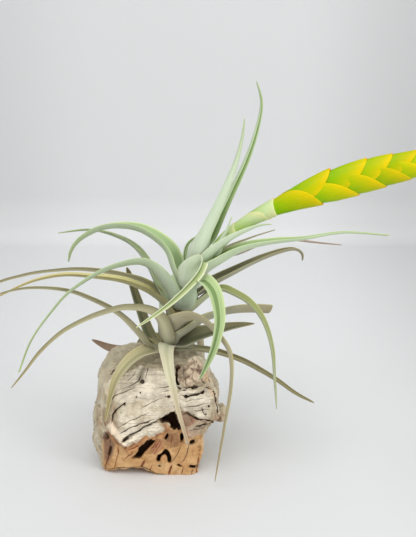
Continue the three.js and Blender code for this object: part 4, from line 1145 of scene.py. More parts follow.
# plates: the front's y at 20 mm up, its lean, how thick, and the outline
corkPlates = {
    "left": dict(
        front=-33.5, lean=0.158, thickness=7,
        outline=[
            (-32.5, 27), (-30, 20), (-27, 17.5), (-24, 13.5), (-20.8, 11.1), (-18.4, 12.9),
            (-16.4, 14.1), (-14.1, 14.6), (-11.6, 17.5), (-8.3, 19.6), (-6.2, 18.2), (-3.7, 18.4),
            (-1.5, 20.8), (1.2, 21.5), (2.9, 24), (0.4, 28.3), (-1.4, 29.4), (3, 31.6), (8.5, 34.5),
            (10.5, 42), (8, 52), (8, 60), (-12, 64), (-27, 60), (-34.3, 52), (-33.5, 45.2), (-30.5, 36)]),
    "right": dict(
        front=-32.5, lean=0.1, thickness=7,
        outline=[
            (10, 47.5), (9.5, 42), (12.6, 37), (13.6, 33.4), (16, 34.6), (18, 33.2), (20.4, 33),
            (22.4, 30.8), (24.6, 30.6), (26.8, 28.6), (29, 30.2), (31.6, 28.4), (34.2, 27.9), (36, 33),
            (35.4, 39.2), (33.1, 47), (29.6, 52.5), (25.1, 50), (19.4, 48.6), (14, 49)]),
    "torn": dict(
        front=-31.2, lean=0.05, thickness=6,
        outline=[
            (-21.5, 12), (-20.5, 8.3), (-18.6, 4.6), (-16.6, 6.8), (-14.6, 8.4), (-13.3, 10.7),
            (-10.3, 13.3), (-7.9, 15.5), (-3, 16.4), (0.6, 16.9), (4.2, 19.1), (5.6, 23.6), (4.6, 27),
            (0, 27), (-10, 24), (-18, 18)]),
    "plank": dict(
        front=-31, lean=0.05, thickness=7,
        outline=[
            (15, 26.5), (15.8, 21.6), (16.6, 18.4), (18.1, 15.4), (20.6, 17.4), (23.4, 19.6),
            (25.8, 21.6), (27.8, 24.6), (33, 27.5), (31, 30), (25, 31), (18.7, 29.5)]),
    "column": dict(
        front=-29, lean=0, thickness=4,
        outline=[(5.2, 18), (6.6, 20.4), (8.4, 22.6), (8.5, 12.6), (5.8, 9.2), (4.6, 12.6)]),
    "strut": dict(
        front=-28.4, lean=0, thickness=4, outline=[(8.8, 24), (11.2, 23.6), (11, 16.6), (8.6, 14)]),
    "wedge": dict(
        front=-29.8, lean=0, thickness=4.5,
        outline=[
            (-6, 8.4), (-4.6, 12.2), (-2.6, 15.8), (-0.4, 17.2), (1.8, 15.4), (1.8, 12), (-0.7, 8.6),
            (-3.4, 6.2)]),
}
# rounded lumps: middle, half sizes
corkLumps = [
    ((17.4, -15, 65), (5, 7, 5.6)), ((21, -15.5, 68.5), (5.5, 7, 6)), ((25, -13, 64), (4.5, 8, 6)),
    ((16.5, -19, 61), (5, 5.5, 4.5)), ((22.5, -19, 61.5), (4.5, 5, 4)), ((-22, -8, 64), (12, 10, 5)),
    ((19, -20, 65), (3.5, 4, 4)), ((28, -16, 57), (4, 7, 5)), ((31, -17, 51), (3.5, 6, 4.5)),
    ((37, -15, 39.2), (3, 5, 3.2)), ((36.5, -15, 35), (3.4, 6, 3)), ((24.6, -21, 20.5), (1.5, 4, 6)),
    ((24.2, -19, 13), (1.7, 4, 2)), ((1.2, -25.6, 10.4), (1.5, 3.4, 3.2)),
    ((-33.4, -21, 30), (3, 6, 7)),
]
# hollows: outline at the surface, how deep they reach, and how much narrower they end
corkHollows = {
    "slot": dict(
        back=-17, narrow=0.75,
        outline=[
            (-19.6, 2.9), (-12.4, 3.1), (-10.4, 6.2), (-6, 11.6), (-1.9, 16.6), (-7.4, 16.8),
            (-9.5, 14.1), (-13.4, 11.1), (-14.2, 7.4), (-16.4, 5.2)]),
    "arch": dict(
        back=-17, narrow=0.8,
        outline=[
            (-3.3, 1.2), (-2.4, 5.4), (0.5, 7.1), (2.8, 10.4), (5.4, 8.6), (6.6, 4.4), (6.5, 0),
            (4.4, -0.4), (3.6, 4.6), (2.5, 5.9), (1, 5.3), (0.5, 0.4)]),
    "cavity": dict(
        back=-15, narrow=0.8,
        outline=[
            (-1.5, 29.4), (1, 31.5), (6.7, 35), (9.6, 35), (10.4, 29.9), (13, 26), (12.8, 22.8),
            (10.4, 22.2), (8, 22.8), (6.2, 24.4), (5.6, 27.2), (3, 27.4), (0.9, 27)]),
    "shaft": dict(
        back=-19, narrow=0.7,
        outline=[(12, 20.6), (14, 20.8), (14.2, 17), (12.9, 13.8), (11.8, 13.9), (11.9, 17)]),
    "gap": dict(
        back=-21, narrow=0.6,
        outline=[(3.6, 22), (5.4, 21.6), (5, 18.4), (4.2, 16.2), (2.6, 16), (1.9, 17.9)]),
    "leftHole": dict(
        back=-21, narrow=0.6,
        outline=[(8.6, -0.6), (10.9, 0), (12.6, -1.6), (14.4, -2.6), (12, -3.2), (9.6, -2)]),
    "rightHole": dict(
        back=-19, narrow=0.6,
        outline=[(16, -2.4), (18, -0.8), (20.8, -1.8), (22.6, -2.8), (21.8, -4), (17.4, -3.8)]),
    "underPlank": dict(
        back=-23, narrow=0.6,
        outline=[(14, 14.6), (17, 14), (20.6, 15.4), (22, 14.4), (18.8, 11.9), (15, 12.1)]),
    "crumble": dict(
        back=-23, narrow=0.5,
        outline=[(-33.8, 17.4), (-33, 19.8), (-31.4, 20.4), (-30.6, 17.6), (-31.6, 15), (-33.2, 14.6)]),
    "lowCrumble": dict(
        back=-23, narrow=0.5,
        outline=[(-31.6, 11.6), (-29.6, 14), (-28.8, 11.6), (-30, 6.2), (-32.2, 1.8), (-33.2, 4.4)]),
    "nook": dict(
        back=-28.2, narrow=0.9,
        outline=[
            (11, 35), (15.6, 35.4), (19.4, 33), (23, 30.6), (20.4, 27.4), (15.6, 26.4), (12.8, 29)]),
    "cleft": dict(
        back=-13, narrow=0.7,
        outline=[
            (8.4, 72), (12.6, 71.4), (12.4, 66), (10.8, 60.5), (10.6, 54), (12.4, 50.6), (10.4, 49.4),
            (8.6, 52)]),
    "lift": dict(
        back=-16, narrow=0.9,
        outline=[
            (-36, -14), (-34, -6.2), (-32.6, -5.2), (-30, -5.4), (-27, -4.2), (-21.5, -4.2),
            (-17.5, -3.3), (-13.5, -3.7), (-11, -3.4), (-8, -5.2), (-5.4, -6.4), (-3.4, -8.2),
            (0.4, -8), (3, -9), (4, -14)]),
}
# cracks and shallower grooves: the width, the depth and the bent line
corkCracks = {
    "crack": [
        (2.0, 3.2, [(-23.2, 15), (-21, 17.2), (-18, 19.2), (-15.4, 21)]),
        (1.1, 2.4, [(-18.6, 18.6), (-12.2, 22.8), (-9.3, 25), (-4.7, 27.1), (0.4, 30.2)]),
        (0.45, 0.8, [(-25.1, 24.4), (-18.9, 28.6), (-12.6, 31.6), (-6, 34.6)]),
        (0.7, 1.2, [(-24.9, 20.6), (-19.1, 23.6), (-14, 26.2), (-8, 28.4), (-3, 30.4)]),
        (0.9, 1.8, [(-28.9, 28.6), (-28.4, 33), (-26.8, 35.4), (-24.4, 37.4), (-20.8, 40.4)]),
        (0.5, 0.8, [(-28.8, 44.2), (-25.3, 46.1), (-20.2, 48), (-15.3, 50)]),
        (0.7, 1.0, [(-20.5, 50), (-15.5, 52.3), (-12.7, 54.7), (-11.3, 58.8)]),
        (0.4, 0.6, [(-11.4, 37.2), (-5, 40.8), (1.7, 44)]),
        (0.5, 0.8, [(-0.6, 49.8), (3.2, 50.6), (5.9, 51.6)]),
        (0.5, 0.8, [(2.4, 47.6), (5.4, 48.8)]),
        (0.5, 0.9, [(-30.1, 38), (-29.3, 41.7), (-27, 45.5)]),
        (0.5, 0.7, [(-19, 55), (-16, 57.6), (-14.6, 60)]),
        (0.5, 0.7, [(-8.5, 56.5), (-7.4, 60), (-6.8, 63.5)]),
        (1.1, 1.8, [(13.4, 45.6), (15.4, 44.4), (18, 45.4), (22, 46.4), (25.2, 47)]),
        (0.5, 0.7, [(14, 38.2), (19.4, 38.4), (23.9, 39.4), (28.6, 40.7)]),
        (0.4, 0.6, [(16, 42), (21, 42.8), (26, 43.6)]),
        (0.4, 0.6, [(20, 35.6), (24.6, 36), (28.4, 36.6)]),
        (0.6, 0.8, [(25.2, 37.6), (25.8, 34.8), (27.4, 32.6)]),
        (0.9, 1.4, [(33, 46.4), (33.4, 42), (34.9, 38), (34.8, 32.2)]),
        (1.5, 2.4, [(10.3, 51.1), (12.6, 49.2), (16, 49.6), (20, 50.4), (25.6, 50.2)]),
        (0.7, 0.8, [(14.8, 58.1), (14.6, 54.6), (16.6, 51.5)]),
        (0.7, 0.8, [(19.6, 59.4), (19, 56.2), (21.6, 53)]),
        (0.6, 0.6, [(12.2, 60), (15.4, 61.6), (18.2, 65)]),
        (0.6, 0.6, [(17.6, 70.6), (20.6, 67), (20, 63.4)]),
        (0.7, 1.0, [(25.4, 59.2), (24.8, 55.4), (27.8, 51), (31, 49.4)]),
        (0.6, 1.0, [(29, 55), (31.6, 50), (32.8, 45)]),
        (0.7, 1.2, [(-31.2, 57), (-28.6, 60.4), (-23.6, 64)]),
        (0.7, 1.2, [(-27.4, 63.4), (-23.2, 67.4), (-18.4, 69.6)]),
        (0.6, 1.0, [(-24.8, 55.6), (-21.2, 60), (-15.6, 64)]),
        (1.2, 2.0, [(13.8, 32.4), (16.4, 33.6), (20.2, 32), (24.4, 29.8), (29, 29.2), (34.2, 27)]),
        (1.0, 1.6, [(21.4, 25.2), (26, 26.4), (31.4, 26.6)]),
        (0.7, 1.0, [(17.4, 22.4), (20.6, 23.4), (25.4, 24)]),
        (
            0.7, 0.6,
            [
                (-34.4, -5), (-30, -4.4), (-26, -3.4), (-20, -3.4), (-14, -2.8), (-10.4, -3),
                (-7, -4.8), (-3.6, -7.2), (2.4, -8)]),
        (0.5, 0.6, [(17, 12.4), (16.2, 7), (14.9, 3), (12.6, 0.2)]),
        (0.5, 0.6, [(12.4, 11.6), (10.6, 7), (8.6, 3.4), (6.6, 0.6)]),
        (0.5, 0.7, [(-33.8, 21.6), (-31.2, 17.2), (-30.4, 13.6)]),
    ],
    "groove": [
        (1.0, 0.9, [(-34.8, -4.6), (-33.6, -1.4), (-32.3, 3.6), (-30.6, 8)]),
        (0.6, 0.7, [(-28.6, -3.9), (-27.5, 1), (-26, 6.8), (-25.8, 11.8)]),
        (1.5, 0.9, [(-12.4, -3.4), (-11.2, -1), (-9.8, 1.8)]),
        (1.5, 0.9, [(4.4, -8.4), (5.4, -5.6), (6.7, -1.8)]),
        (0.6, 0.9, [(12.4, -8.2), (13, -5.6), (13.8, -3.4)]),
        (0.7, 0.8, [(18.6, -8.4), (20, -4.2)]),
        (1.0, 1.0, [(21.6, -8.5), (22.6, -3.6), (23.2, 3)]),
        (0.5, 0.6, [(-6.6, -6), (-6, -3.2), (-5, -1)]),
        (0.6, 0.9, [(-4.8, 8.2), (-1.4, 13.6), (0.2, 16.6)]),
        (0.6, 0.9, [(-3.4, 7.4), (-0.4, 12), (1.4, 15.6)]),
        (0.6, 0.8, [(-5.6, 10), (-3.2, 13.8), (-1.6, 16.4)]),
        (0.7, 0.8, [(6.4, 11.6), (6.9, 19.4)]),
        (0.7, 0.8, [(-22, 2.4), (-19, 6.2), (-16, 8.8)]),
        (0.7, 0.8, [(-20.2, 8.6), (-16.2, 11.2), (-12, 13.4)]),
    ],
}
# small round holes: place, radius, depth
corkHoles = [
    ((-21.5, 39.4), 0.9, 2.5), ((-14, 44.1), 0.6, 1.6), ((-11.7, 46.9), 0.7, 1.6),
    ((29.6, 38.3), 0.8, 2), ((5.2, 44.6), 1.2, 2.2), ((3.4, 44.4), 0.8, 1.6), ((-10.4, 54.1), 1.7, 1.6),
    ((-0.8, -2.2), 1.0, 1.4), ((15.6, 45), 1.3, 2.2), ((25.8, 47.6), 1.4, 2.6),
    ((27.6, 33.4), 0.7, 1.2), ((9, 38.6), 0.6, 1.4),
]
# areas with a finish of their own or with painted shade, or stepped back by so many mm
corkAreas = {
    "red": dict(
        outline=[
            (11, 34), (15.9, 36.2), (19.4, 33), (22.8, 30.2), (20.5, 27.1), (15.9, 25.2), (13, 28)]),
    "lip": dict(
        outline=[
            (-32.6, 24.8), (-29.2, 29.4), (-27.4, 26.6), (-23.6, 19.4), (-21, 12.2), (-22.8, 11.6),
            (-26.6, 16.8), (-30.4, 21.2)]),
    "lobe": dict(
        outline=[(9, 70), (20, 76), (28, 72), (29, 62), (26.4, 54), (20, 51), (14, 51), (10, 56)]),
    "shelf": dict(
        outline=[
            (25.7, 56.2), (28.6, 60), (32.3, 56.6), (35.5, 47.5), (36.3, 40), (33.6, 40), (31.4, 45),
            (28.2, 50)]),
    # painted shade in the recess below the cavity
    "shade": dict(
        outline=[
            (3, 23.6), (8.4, 23.6), (13.4, 23), (14.6, 13.6), (11.6, 12), (8.6, 10.8), (5, 11.6),
            (2.4, 12.6), (1.6, 17.6)]),
    "crumbs": dict(
        outline=[
            (-34.8, 20.6), (-31, 21.4), (-27.6, 13), (-29.4, 5), (-32.4, -2), (-35, 2), (-34.4, 12)]),
    "stain": dict(
        outline=[
            (-8.6, 72), (-2.6, 71), (-4.2, 63.6), (-9, 60), (-9.6, 55), (-11.8, 51.5), (-14, 56.8),
            (-10.4, 63)]),
    "face": dict(
        outline=[
            (-36, -12), (-35.5, 14), (-31, 22), (-20.5, 13), (-8, 20), (3, 24), (9, 27), (14, 26),
            (19, 19), (25.5, 19), (26, 5), (25.5, -12)]),
    "lipStep": dict(
        back=1.1,
        outline=[
            (-23, 15.4), (-18, 18.8), (-12.2, 22.6), (-9.3, 25.2), (-4.7, 27.1), (0.6, 30), (4, 24),
            (-2, 17), (-8, 18), (-20, 10)]),
    "upperStep": dict(
        back=0.9,
        outline=[(-28.8, 44.2), (-25.3, 46.1), (-15.3, 50), (-12, 58), (-8, 64), (-30, 62), (-36, 50)]),
    "plankStep": dict(
        back=1.2, outline=[(17, 22), (20.6, 23), (25.4, 24.4), (30, 26), (26, 18), (18, 13)]),
}


def levelAt(height):
    rows = cork["levels"]
    height = min(max(height, rows[0][0]), rows[-1][0])
    for low, high in zip(rows, rows[1:]):
        if height <= high[0]:
            share = (height - low[0]) / (high[0] - low[0])
            return [mix(a, b, share) for a, b in zip(low[1:], high[1:])]


def ease(low, high, values):
    share = np.clip((values - low) / (high - low), 0, 1)
    return share * share * (3 - 2 * share)


def lineGap(line, points):
    # how far each point lies from a bent line, how far along it from 0 to 1, and on which side
    corners = np.array(line, float)
    lengths = np.linalg.norm(np.diff(corners, axis=0), axis=1)
    nearest, along, side = np.full(len(points), 1e9), np.zeros(len(points)), np.ones(len(points))
    for index, (start, end) in enumerate(zip(corners, corners[1:])):
        run = end - start
        share = np.clip(((points - start) @ run) / max(run @ run, 1e-9), 0, 1)
        gap = np.linalg.norm(points - start - share[:, None] * run, axis=1)
        nearer = gap < nearest
        nearest = np.where(nearer, gap, nearest)
        along = np.where(nearer, (lengths[:index].sum() + share * lengths[index]) / lengths.sum(), along)
        turn = run[0] * (points[:, 1] - start[1]) - run[1] * (points[:, 0] - start[0])
        side = np.where(nearer, np.sign(turn), side)
    return nearest, along, side


def insetOf(outline, points):
    # how far inside a closed outline each point lies, below zero outside it
    corners = np.array(outline, float)
    inside = np.zeros(len(points), bool)
    for start, end in zip(corners, np.roll(corners, -1, axis=0)):
        crosses = (start[1] > points[:, 1]) != (end[1] > points[:, 1])
        rise = end[1] - start[1] or 1e-9
        reached = start[0] + (points[:, 1] - start[1]) * (end[0] - start[0]) / rise
        inside ^= crosses & (points[:, 0] < reached)
    gap = lineGap([*outline, outline[0]], points)[0]
    return np.where(inside, gap, -gap)


def squared(value, power):
    return math.copysign(abs(value) ** power, value)


def addCorkBody(bm):
    def place(share, angle):
        height = share * cork["levels"][-1][0]
        left, right, front, back = levelAt(height)
        lump = 0.9 * math.sin(5 * angle + height / 6) + 0.7 * math.sin(9 * angle - height / 4)
        lump *= 0.35 if math.sin(angle) < -0.5 else 1
        power = cork["squareness"]
        if math.cos(angle) > 0:
            power = mix(cork["cutSquareness"], power, float(ease(24, 34, height)))
        x = (left + right) / 2 + ((right - left) / 2 + lump) * squared(math.cos(angle), power)
        y = (front + back) / 2 + ((back - front) / 2 + lump) * squared(math.sin(angle), power)
        return Vector((x, y, height))
    addTube(bm, cork["sides"], cork["rows"], place)


def plateFront(plate, x, z):
    y = plate["front"] + plate["lean"] * (z - 20) + 0.012 * max(0, z - 50) ** 2
    y += 0.012 * max(0, -18 - x) ** 2 + 0.025 * max(0, x - 24) ** 2
    return y + 1.1 * noise.noise(Vector((x / 9, z / 9, 3))) + 0.5 * noise.noise(Vector((x / 3, z / 3, 8)))


def addPlate(bm, plate):
    # a fine grid cut to the plate's ragged outline and given its thickness
    across, up = cork["plateSheet"]
    cell = cork["plateCell"]
    sheet = bmesh.new()
    bmesh.ops.create_grid(sheet, x_segments=round(across / cell), y_segments=round(up / cell), size=0.5)
    places = []
    for vertex in sheet.verts:
        x, z = vertex.co.x * across, up / 2 + vertex.co.y * up
        y = plateFront(plate, x, z)
        vertex.co = Vector((x, y, z))
        ragged = [0.7 * noise.noise(Vector((x / 2.2, z / 2.2, level))) for level in (0, 5)]
        places.append((x + ragged[0], z + cork["seenSlope"] * y + ragged[1]))
    inset = insetOf(plate["outline"], np.array(places))
    outside = [vertex for vertex, depth in zip(sheet.verts, inset) if depth < 0]
    bmesh.ops.delete(sheet, geom=outside, context="VERTS")
    lonely = [vertex for vertex in sheet.verts if not vertex.link_faces]
    bmesh.ops.delete(sheet, geom=lonely, context="VERTS")
    sheet.normal_update()
    if sum(face.normal.y for face in sheet.faces) > 0:
        bmesh.ops.reverse_faces(sheet, faces=sheet.faces)
    drawn = bmesh.ops.extrude_face_region(sheet, geom=sheet.faces[:], use_keep_orig=True)
    fresh = [item for item in drawn["geom"] if isinstance(item, bmesh.types.BMVert)]
    bmesh.ops.translate(sheet, verts=fresh, vec=(0, plate["thickness"], 0))
    bmesh.ops.recalc_face_normals(sheet, faces=sheet.faces)
    bmesh.ops.scale(sheet, vec=(mm, mm, mm), verts=sheet.verts)
    joinInto(bm, sheet)


def addCutter(bm, hollow):
    # the outline drawn back into the bark, away from the viewer, narrowing below the surface
    front, slope = cork["cutterFront"], cork["seenSlope"]
    ring = [bm.verts.new(Vector((x, front, seen - slope * front)) * mm) for x, seen in hollow["outline"]]
    end = bm.faces.new(ring)
    for reach, narrow in ((cork["cutterSurface"], 1), (hollow["back"], hollow["narrow"])):
        drawn = bmesh.ops.extrude_face_region(bm, geom=[end], use_keep_orig=True)
        inner = end
        end = next(item for item in drawn["geom"] if isinstance(item, bmesh.types.BMFace))
        fresh = list(end.verts)
        if narrow < 1:
            bmesh.ops.delete(bm, geom=[inner], context="FACES_ONLY")
        bmesh.ops.translate(bm, verts=fresh, vec=Vector((0, reach - front, slope * (front - reach))) * mm)
        middle = sum((vertex.co for vertex in fresh), Vector()) / len(fresh)
        bmesh.ops.scale(bm, vec=(narrow, 1, narrow), verts=fresh, space=Matrix.Translation(-middle))
        front = reach


def joinInto(bm, part):
    mesh = bpy.data.meshes.new("joined")
    part.to_mesh(mesh)
    part.free()
    bm.from_mesh(mesh)
    bpy.data.meshes.remove(mesh)


def addBall(bm, middle, half):
    matrix = Matrix.Translation(Vector(middle) * mm) @ Matrix.Diagonal((*(Vector(half) * mm), 1))
    bmesh.ops.create_icosphere(bm, subdivisions=3, radius=1, matrix=matrix)


def appliedMesh(piece):
    bpy.context.view_layer.update()
    ready = piece.evaluated_get(bpy.context.evaluated_depsgraph_get())
    return bpy.data.meshes.new_from_object(ready)


def shapeCork():
    # the body less its hollows, with plates and lumps, remeshed into one skin
    body = bmesh.new()
    addCorkBody(body)
    bmesh.ops.recalc_face_normals(body, faces=body.faces)
    bodyPiece = finishMesh(body, "corkBody", [])
    tools = bmesh.new()
    for hollow in corkHollows.values():
        addCutter(tools, hollow)
    bmesh.ops.recalc_face_normals(tools, faces=tools.faces)
    toolPiece = finishMesh(tools, "corkTools", [])
    carve = bodyPiece.modifiers.new("carve", "BOOLEAN")
    carve.operation = "DIFFERENCE"
    carve.solver = "EXACT"
    carve.use_self = True
    carve.object = toolPiece
    whole = bmesh.new()
    whole.from_mesh(appliedMesh(bodyPiece))
    for plate in corkPlates.values():
        addPlate(whole, plate)
    for middle, half in corkLumps:
        addBall(whole, middle, half)
    for piece in (bodyPiece, toolPiece):
        bpy.data.objects.remove(piece)
    rough = finishMesh(whole, "corkRough", [])
    skin = rough.modifiers.new("skin", "REMESH")
    skin.mode = "VOXEL"
    skin.voxel_size = cork["voxel"] * mm
    mesh = appliedMesh(rough)
    bpy.data.objects.remove(rough)
    return mesh


def weatherCork(mesh):
    # moves each vertex by region and records the regions for the finish
    count = len(mesh.vertices)
    flat = np.zeros(count * 3)
    mesh.vertices.foreach_get("co", flat)
    places = flat.reshape(-1, 3) / mm
    mesh.vertices.foreach_get("normal", flat)
    normals = flat.reshape(-1, 3).copy()
    seen = np.stack([places[:, 0], places[:, 2] + cork["seenSlope"] * places[:, 1]], axis=1)
    facing = ease(0.1, 0.5, -normals[:, 1])
    front = facing * ease(-6, -12, places[:, 1])
    bodyFront = np.array([levelAt(z)[2] for z in places[:, 2]])
    behind = places[:, 1] - bodyFront

    def sampled(function, points):
        return np.array([function(point) for point in points])

    def fractal(scale, octaves, offset=0):
        return sampled(lambda place: noise.fractal(place, 1.0, 2.0, octaves), places * scale + offset)

    def area(name, softness=0.9):
        return ease(-softness, softness, insetOf(corkAreas[name]["outline"], seen))

    def onPlate(name, low=-0.9, high=0.5):
        return ease(low, high, insetOf(corkPlates[name]["outline"], seen))

    plate = np.zeros(count)
    for name in ("left", "right"):
        plate = np.maximum(plate, onPlate(name) * facing)
    plate *= ease(0.3, -1.2, behind)
    torn = onPlate("torn") * (1 - plate) * ease(1.5, -1, behind)
    plank = onPlate("plank") * (1 - plate) * ease(1, -1, behind)
    wedge = onPlate("wedge", -0.7, 0.3) * (1 - plate) * ease(1, -1, behind)
    cut = area("face", 1.2) * (1 - plate) * ease(-12, -17, places[:, 1])
    side = (1 - plate) * (1 - cut) * ease(-0.9, -0.5, normals[:, 2])

    coarse = fractal(1 / 11, 2)
    medium = fractal(1 / 3.6, 3, 40)
    fine = fractal(1 / 1.2, 2, 80)
    furrowed = places * np.array([1 / 6, 1 / 6, 1 / 19]) + (coarse * 0.25)[:, None]
    ridge = sampled(lambda place: noise.ridged_multi_fractal(place, 0.9, 2.2, 3, 1.0, 2.0), furrowed)
    ridge = (ridge - ridge.mean()) / ridge.std()
    turn = math.radians(cork["grainTurn"])
    along = seen[:, 0] * math.cos(turn) + seen[:, 1] * math.sin(turn)
    aside = seen[:, 1] * math.cos(turn) - seen[:, 0] * math.sin(turn)
    grain = sampled(lambda place: noise.fractal(place, 1.0, 2.0, 3),
                    np.stack([along / 13, aside / 1.0, np.full(count, 3.0)], axis=1))
    bands = aside / cork["bandWidth"] + 1.3 * coarse + 0.5 * medium
    layer = np.floor(bands)
    layerStep = sampled(noise.cell, np.stack(
        [layer * 1.7, np.floor(along / 17 + layer * 0.37), np.full(count, 2.0)], axis=1))
    layerEdge = ease(0.2, 0.0, bands - layer)

    shift = 0.6 * coarse * (1 - cut * 0.7)
    lobe = area("lobe") * front
    shift += side * (0.35 * ridge + 0.6 * medium + 0.35 * fine)
    shift += lobe * (0.9 * medium + 0.45 * fine)
    shift += plate * (0.14 * grain + 0.2 * layerStep - 0.25 * layerEdge + 0.15 * medium + 0.1 * fine)
    shift += cut * (0.25 * medium + 0.2 * fine)
    shift += torn * (0.5 * medium + 0.35 * fine)
    for name in ("lipStep", "upperStep", "plankStep"):
        shift -= corkAreas[name]["back"] * area(name, 0.5) * front
    # by kind: how close the lines run, how far across its width a point lies, and the gap to the nearest
    near, across, closest = (
        {kind: np.full(count, start) for kind in corkCracks} for start in (0.0, 9.0, 1e9))
    strayed = seen + 0.5 * np.stack([coarse, medium], axis=1)
    for kind, (width, depth, line) in [(kind, row) for kind, rows in corkCracks.items() for row in rows]:
        gap, share, hand = lineGap(line, strayed)
        taper = ease(0, 0.2, share) * ease(1, 0.8, share)
        size = np.maximum(width * (0.4 + 0.6 * taper) * (1 + 0.6 * medium), 0.25)
        opened = (1 - ease(0.2, 0.75, gap / np.maximum(size, 0.9))) * front
        shift -= depth * opened * np.minimum(size, 1)
        nearer = gap < closest[kind]
        closest[kind] = np.where(nearer, gap, closest[kind])
        across[kind] = np.where(nearer, hand * gap / size, across[kind])
        near[kind] = np.maximum(near[kind], (1 - ease(0.6, 1.1 + 0.5 * width, gap)) * front)
    holes = np.zeros(count)
    for spot, radius, depth in corkHoles:
        gap = np.linalg.norm(seen - np.array(spot) + 0.3 * fine[:, None], axis=1)
        opened = (1 - ease(0.5 * radius, 1.15 * radius, gap)) * front
        shift -= depth * opened
        holes = np.maximum(holes, opened)
    standing = ease(0.4, 2.0, places[:, 2])
    moved = places + normals * (shift * standing)[:, None]
    moved[:, 2] = np.maximum(moved[:, 2], 0)
    mesh.vertices.foreach_set("co", (moved * mm).ravel())

    # painted shade just below the lower edges of the left and right plates, partly also the dark layer seam
    # there
    under = np.zeros(count)
    for name in ("left", "right"):
        inset = insetOf(corkPlates[name]["outline"], seen + 0.8 * np.stack([medium, medium], axis=1))
        under = np.maximum(under, ease(-2.6, -0.7, inset) * (1 - plate) * front * ease(34, 27, seen[:, 1]))
    # painted shade: the insides of the hollows are painted dark
    deep = np.zeros(count)
    for name, hollow in corkHollows.items():
        if name != "lift":
            within = ease(-1.2, -0.2, insetOf(hollow["outline"], seen))
            deep = np.maximum(deep, within * ease(1.2, 4.5, behind) * ease(-8, -11, places[:, 1]))
    values = {"plate": plate, "cutFace": cut, "torn": torn, "plank": plank, "wedge": wedge, "deep": deep,
              "holes": holes, "ridge": np.clip(ridge * 0.2 + 0.5, 0, 1),
              "lump": np.clip(medium * 0.5 + 0.5, 0, 1),
              "layerEdge": layerEdge, "under": under}
    for kind in near:
        values[kind + "Near"] = near[kind]
        values[kind + "Across"] = across[kind]
    for name in ("red", "lip", "lobe", "shelf", "stain", "shade", "crumbs"):
        values[name] = area(name) * front
    for name, value in values.items():
        record = mesh.attributes.new(name, "FLOAT", "POINT")
        record.data.foreach_set("value", value.astype(np.float32))
    for polygon in mesh.polygons:
        polygon.use_smooth = True
    print("cork vertices", count)


# the deep, shade and under-plate tones are for painted shade, the under-plate one partly also a layer seam
corkFinish = {
    "weathered": (212, 201, 180), "weatheredPale": (240, 229, 207),
    "weatheredGrey": (158, 146, 126), "stain": (124, 114, 98), "crack": (78, 66, 54),
    "groove": (128, 70, 44), "side": (194, 179, 151), "sideDark": (126, 108, 86),
    "sidePale": (208, 199, 176), "sideRosy": (184, 152, 124), "cut": (200, 156, 106),
    "cutDark": (166, 118, 74), "cutPale": (218, 178, 128), "deep": (92, 66, 48),
    "red": (158, 120, 98), "fibre": (186, 134, 100), "lip": (240, 220, 194), "torn": (190, 138, 94),
    "plank": (196, 172, 148), "lobe": (184, 162, 140), "lobePale": (214, 194, 168),
    "lobeDark": (126, 104, 88), "shelf": (210, 172, 130), "speck": (112, 94, 76),
    "under": (136, 92, 62), "shade": (138, 98, 68), "crumbs": (128, 96, 84),
}


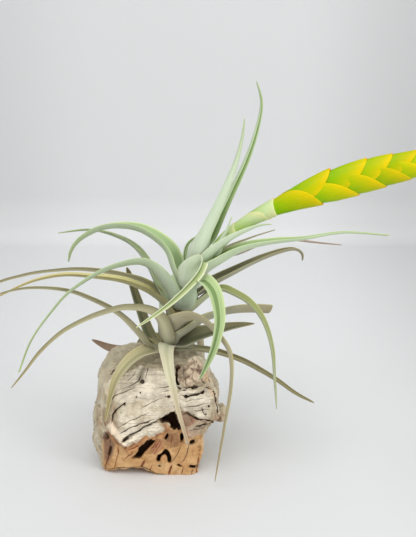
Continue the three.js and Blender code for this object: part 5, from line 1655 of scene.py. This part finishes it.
def corkMaterial():
    material, tree, shader = newMaterial("corkBark")
    place = tree.nodes.new("ShaderNodeTexCoord").outputs["Object"]

    def mask(name):
        return addNode(tree, "ShaderNodeAttribute", attribute_name=name).outputs["Fac"]

    def times(first, second):
        return calculate(tree, "MULTIPLY", first, second)

    def paint(factor, colour, key):
        return mixColours(tree, factor, colour, tone(*corkFinish[key]))

    def crackLine(kind):
        gap = calculate(tree, "ABSOLUTE", mask(kind + "Across"))
        return times(remap(tree, gap, 0.3, 0.62, 1.0, 0.0), remap(tree, mask(kind + "Near"), 0.1, 0.4))

    drawnOut = stretched(tree, place, (70, 70, 1100), (0, cork["grainTurn"], 0))
    grainLine = noiseValue(tree, drawnOut, 1.0, 5.0, 0.7, 0.6)
    blot = noiseValue(tree, place, 110, 4.0, 0.6)
    small = noiseValue(tree, place, 620, 3.0, 0.65)
    specks = noiseValue(tree, place, 1500, 2.0, 0.6)
    lump = mask("lump")

    weathered = paint(remap(tree, blot, 0.44, 0.62), tone(*corkFinish["weathered"]), "weatheredPale")
    weathered = paint(times(remap(tree, blot, 0.46, 0.34), 0.55), weathered, "weatheredGrey")
    weathered = paint(times(remap(tree, grainLine, 0.52, 0.64), 0.7), weathered, "weatheredGrey")
    weathered = paint(times(mask("layerEdge"), 0.3), weathered, "weatheredGrey")
    weathered = paint(times(remap(tree, small, 0.56, 0.7), 0.4), weathered, "weatheredGrey")
    side = paint(remap(tree, blot, 0.5, 0.64), tone(*corkFinish["side"]), "sidePale")
    side = paint(times(remap(tree, blot, 0.46, 0.36), 0.7), side, "sideRosy")
    side = paint(times(remap(tree, mask("ridge"), 0.46, 0.26), 0.5), side, "sideDark")
    side = paint(times(remap(tree, lump, 0.42, 0.2), 0.35), side, "sideDark")
    side = paint(times(remap(tree, small, 0.54, 0.7), 0.5), side, "sideDark")
    # painted light: the sides are painted paler near the top, where the leaves shade them
    heightForTopLight = addNode(tree, "ShaderNodeSeparateXYZ", {0: place}).outputs[2]
    side = paint(times(remap(tree, heightForTopLight, 0.044, 0.06), 0.6), side, "sidePale")
    lobe = paint(remap(tree, blot, 0.4, 0.62), tone(*corkFinish["lobe"]), "lobePale")
    lobe = paint(remap(tree, lump, 0.5, 0.2), lobe, "lobeDark")
    lobe = paint(times(remap(tree, small, 0.52, 0.66), 0.5), lobe, "lobeDark")
    side = mixColours(tree, mask("lobe"), side, lobe)
    cut = paint(remap(tree, blot, 0.42, 0.62), tone(*corkFinish["cut"]), "cutPale")
    cut = paint(times(remap(tree, small, 0.5, 0.72), 0.4), cut, "cutDark")
    cut = paint(times(remap(tree, lump, 0.46, 0.24), 0.5), cut, "cutDark")
    colour = mixColours(tree, mask("cutFace"), side, cut)
    colour = paint(times(mask("torn"), 0.75), colour, "torn")
    colour = paint(times(mask("plank"), 0.85), colour, "plank")
    ragged = remap(tree, lump, 0.25, 0.6, 0.45, 1.0)
    # the shade area and the band under the plates are painted shade, the band partly also a dark layer seam
    for name, share in (("shade", 0.85), ("under", 0.8), ("red", 0.95), ("crumbs", 0.8)):
        colour = paint(times(times(mask(name), share), ragged), colour, name)
    colour = mixColours(tree, mask("plate"), colour, weathered)
    for name, share in (("lip", 0.95), ("shelf", 0.6), ("stain", 0.75)):
        patchy = remap(tree, blot, 0.3, 0.55, 0.5, 1.0)
        colour = paint(times(times(mask(name), share), patchy), colour, name)
    colour = paint(times(mask("wedge"), 0.85), colour, "fibre")
    colour = paint(times(remap(tree, specks, 0.64, 0.74), 0.5), colour, "speck")
    colour = paint(times(crackLine("groove"), 0.9), colour, "groove")
    cracked = calculate(tree, "MAXIMUM", crackLine("crack"), remap(tree, mask("holes"), 0.3, 0.7))
    fainter = calculate(tree, "MULTIPLY_ADD", mask("lobe"), -0.5, 1.0)
    colour = paint(times(cracked, fainter), colour, "crack")
    # painted shade inside the hollows
    colour = paint(mask("deep"), colour, "deep")
    height = calculate(tree, "MULTIPLY_ADD", grainLine, 0.6, times(small, 0.5))
    height = calculate(tree, "MULTIPLY_ADD", specks, 0.25, height)
    finishSurface(tree, shader, colour, remap(tree, small, 0.2, 0.8, 0.78, 0.95), height, 0.6, 0.001)
    shader.inputs["Specular IOR Level"].default_value = 0.2
    return material


def makeCork():
    mesh = shapeCork()
    weatherCork(mesh)
    mesh.name = "corkBark"
    mesh.materials.clear()
    mesh.materials.append(corkMaterial())
    piece = bpy.data.objects.new("corkBark", mesh)
    bpy.context.scene.collection.objects.link(piece)
    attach(piece, "root")
    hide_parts("cork_bark")


makeCork()
print("cork made")

addCamera()
addBackdrop()
addWorld()
addLight("keyLight", studio["keyAt"], studio["keySize"], studio["keyPower"])
addLight("sideLight", studio["sideAt"], studio["sideSize"], studio["sidePower"])
print("studio set")
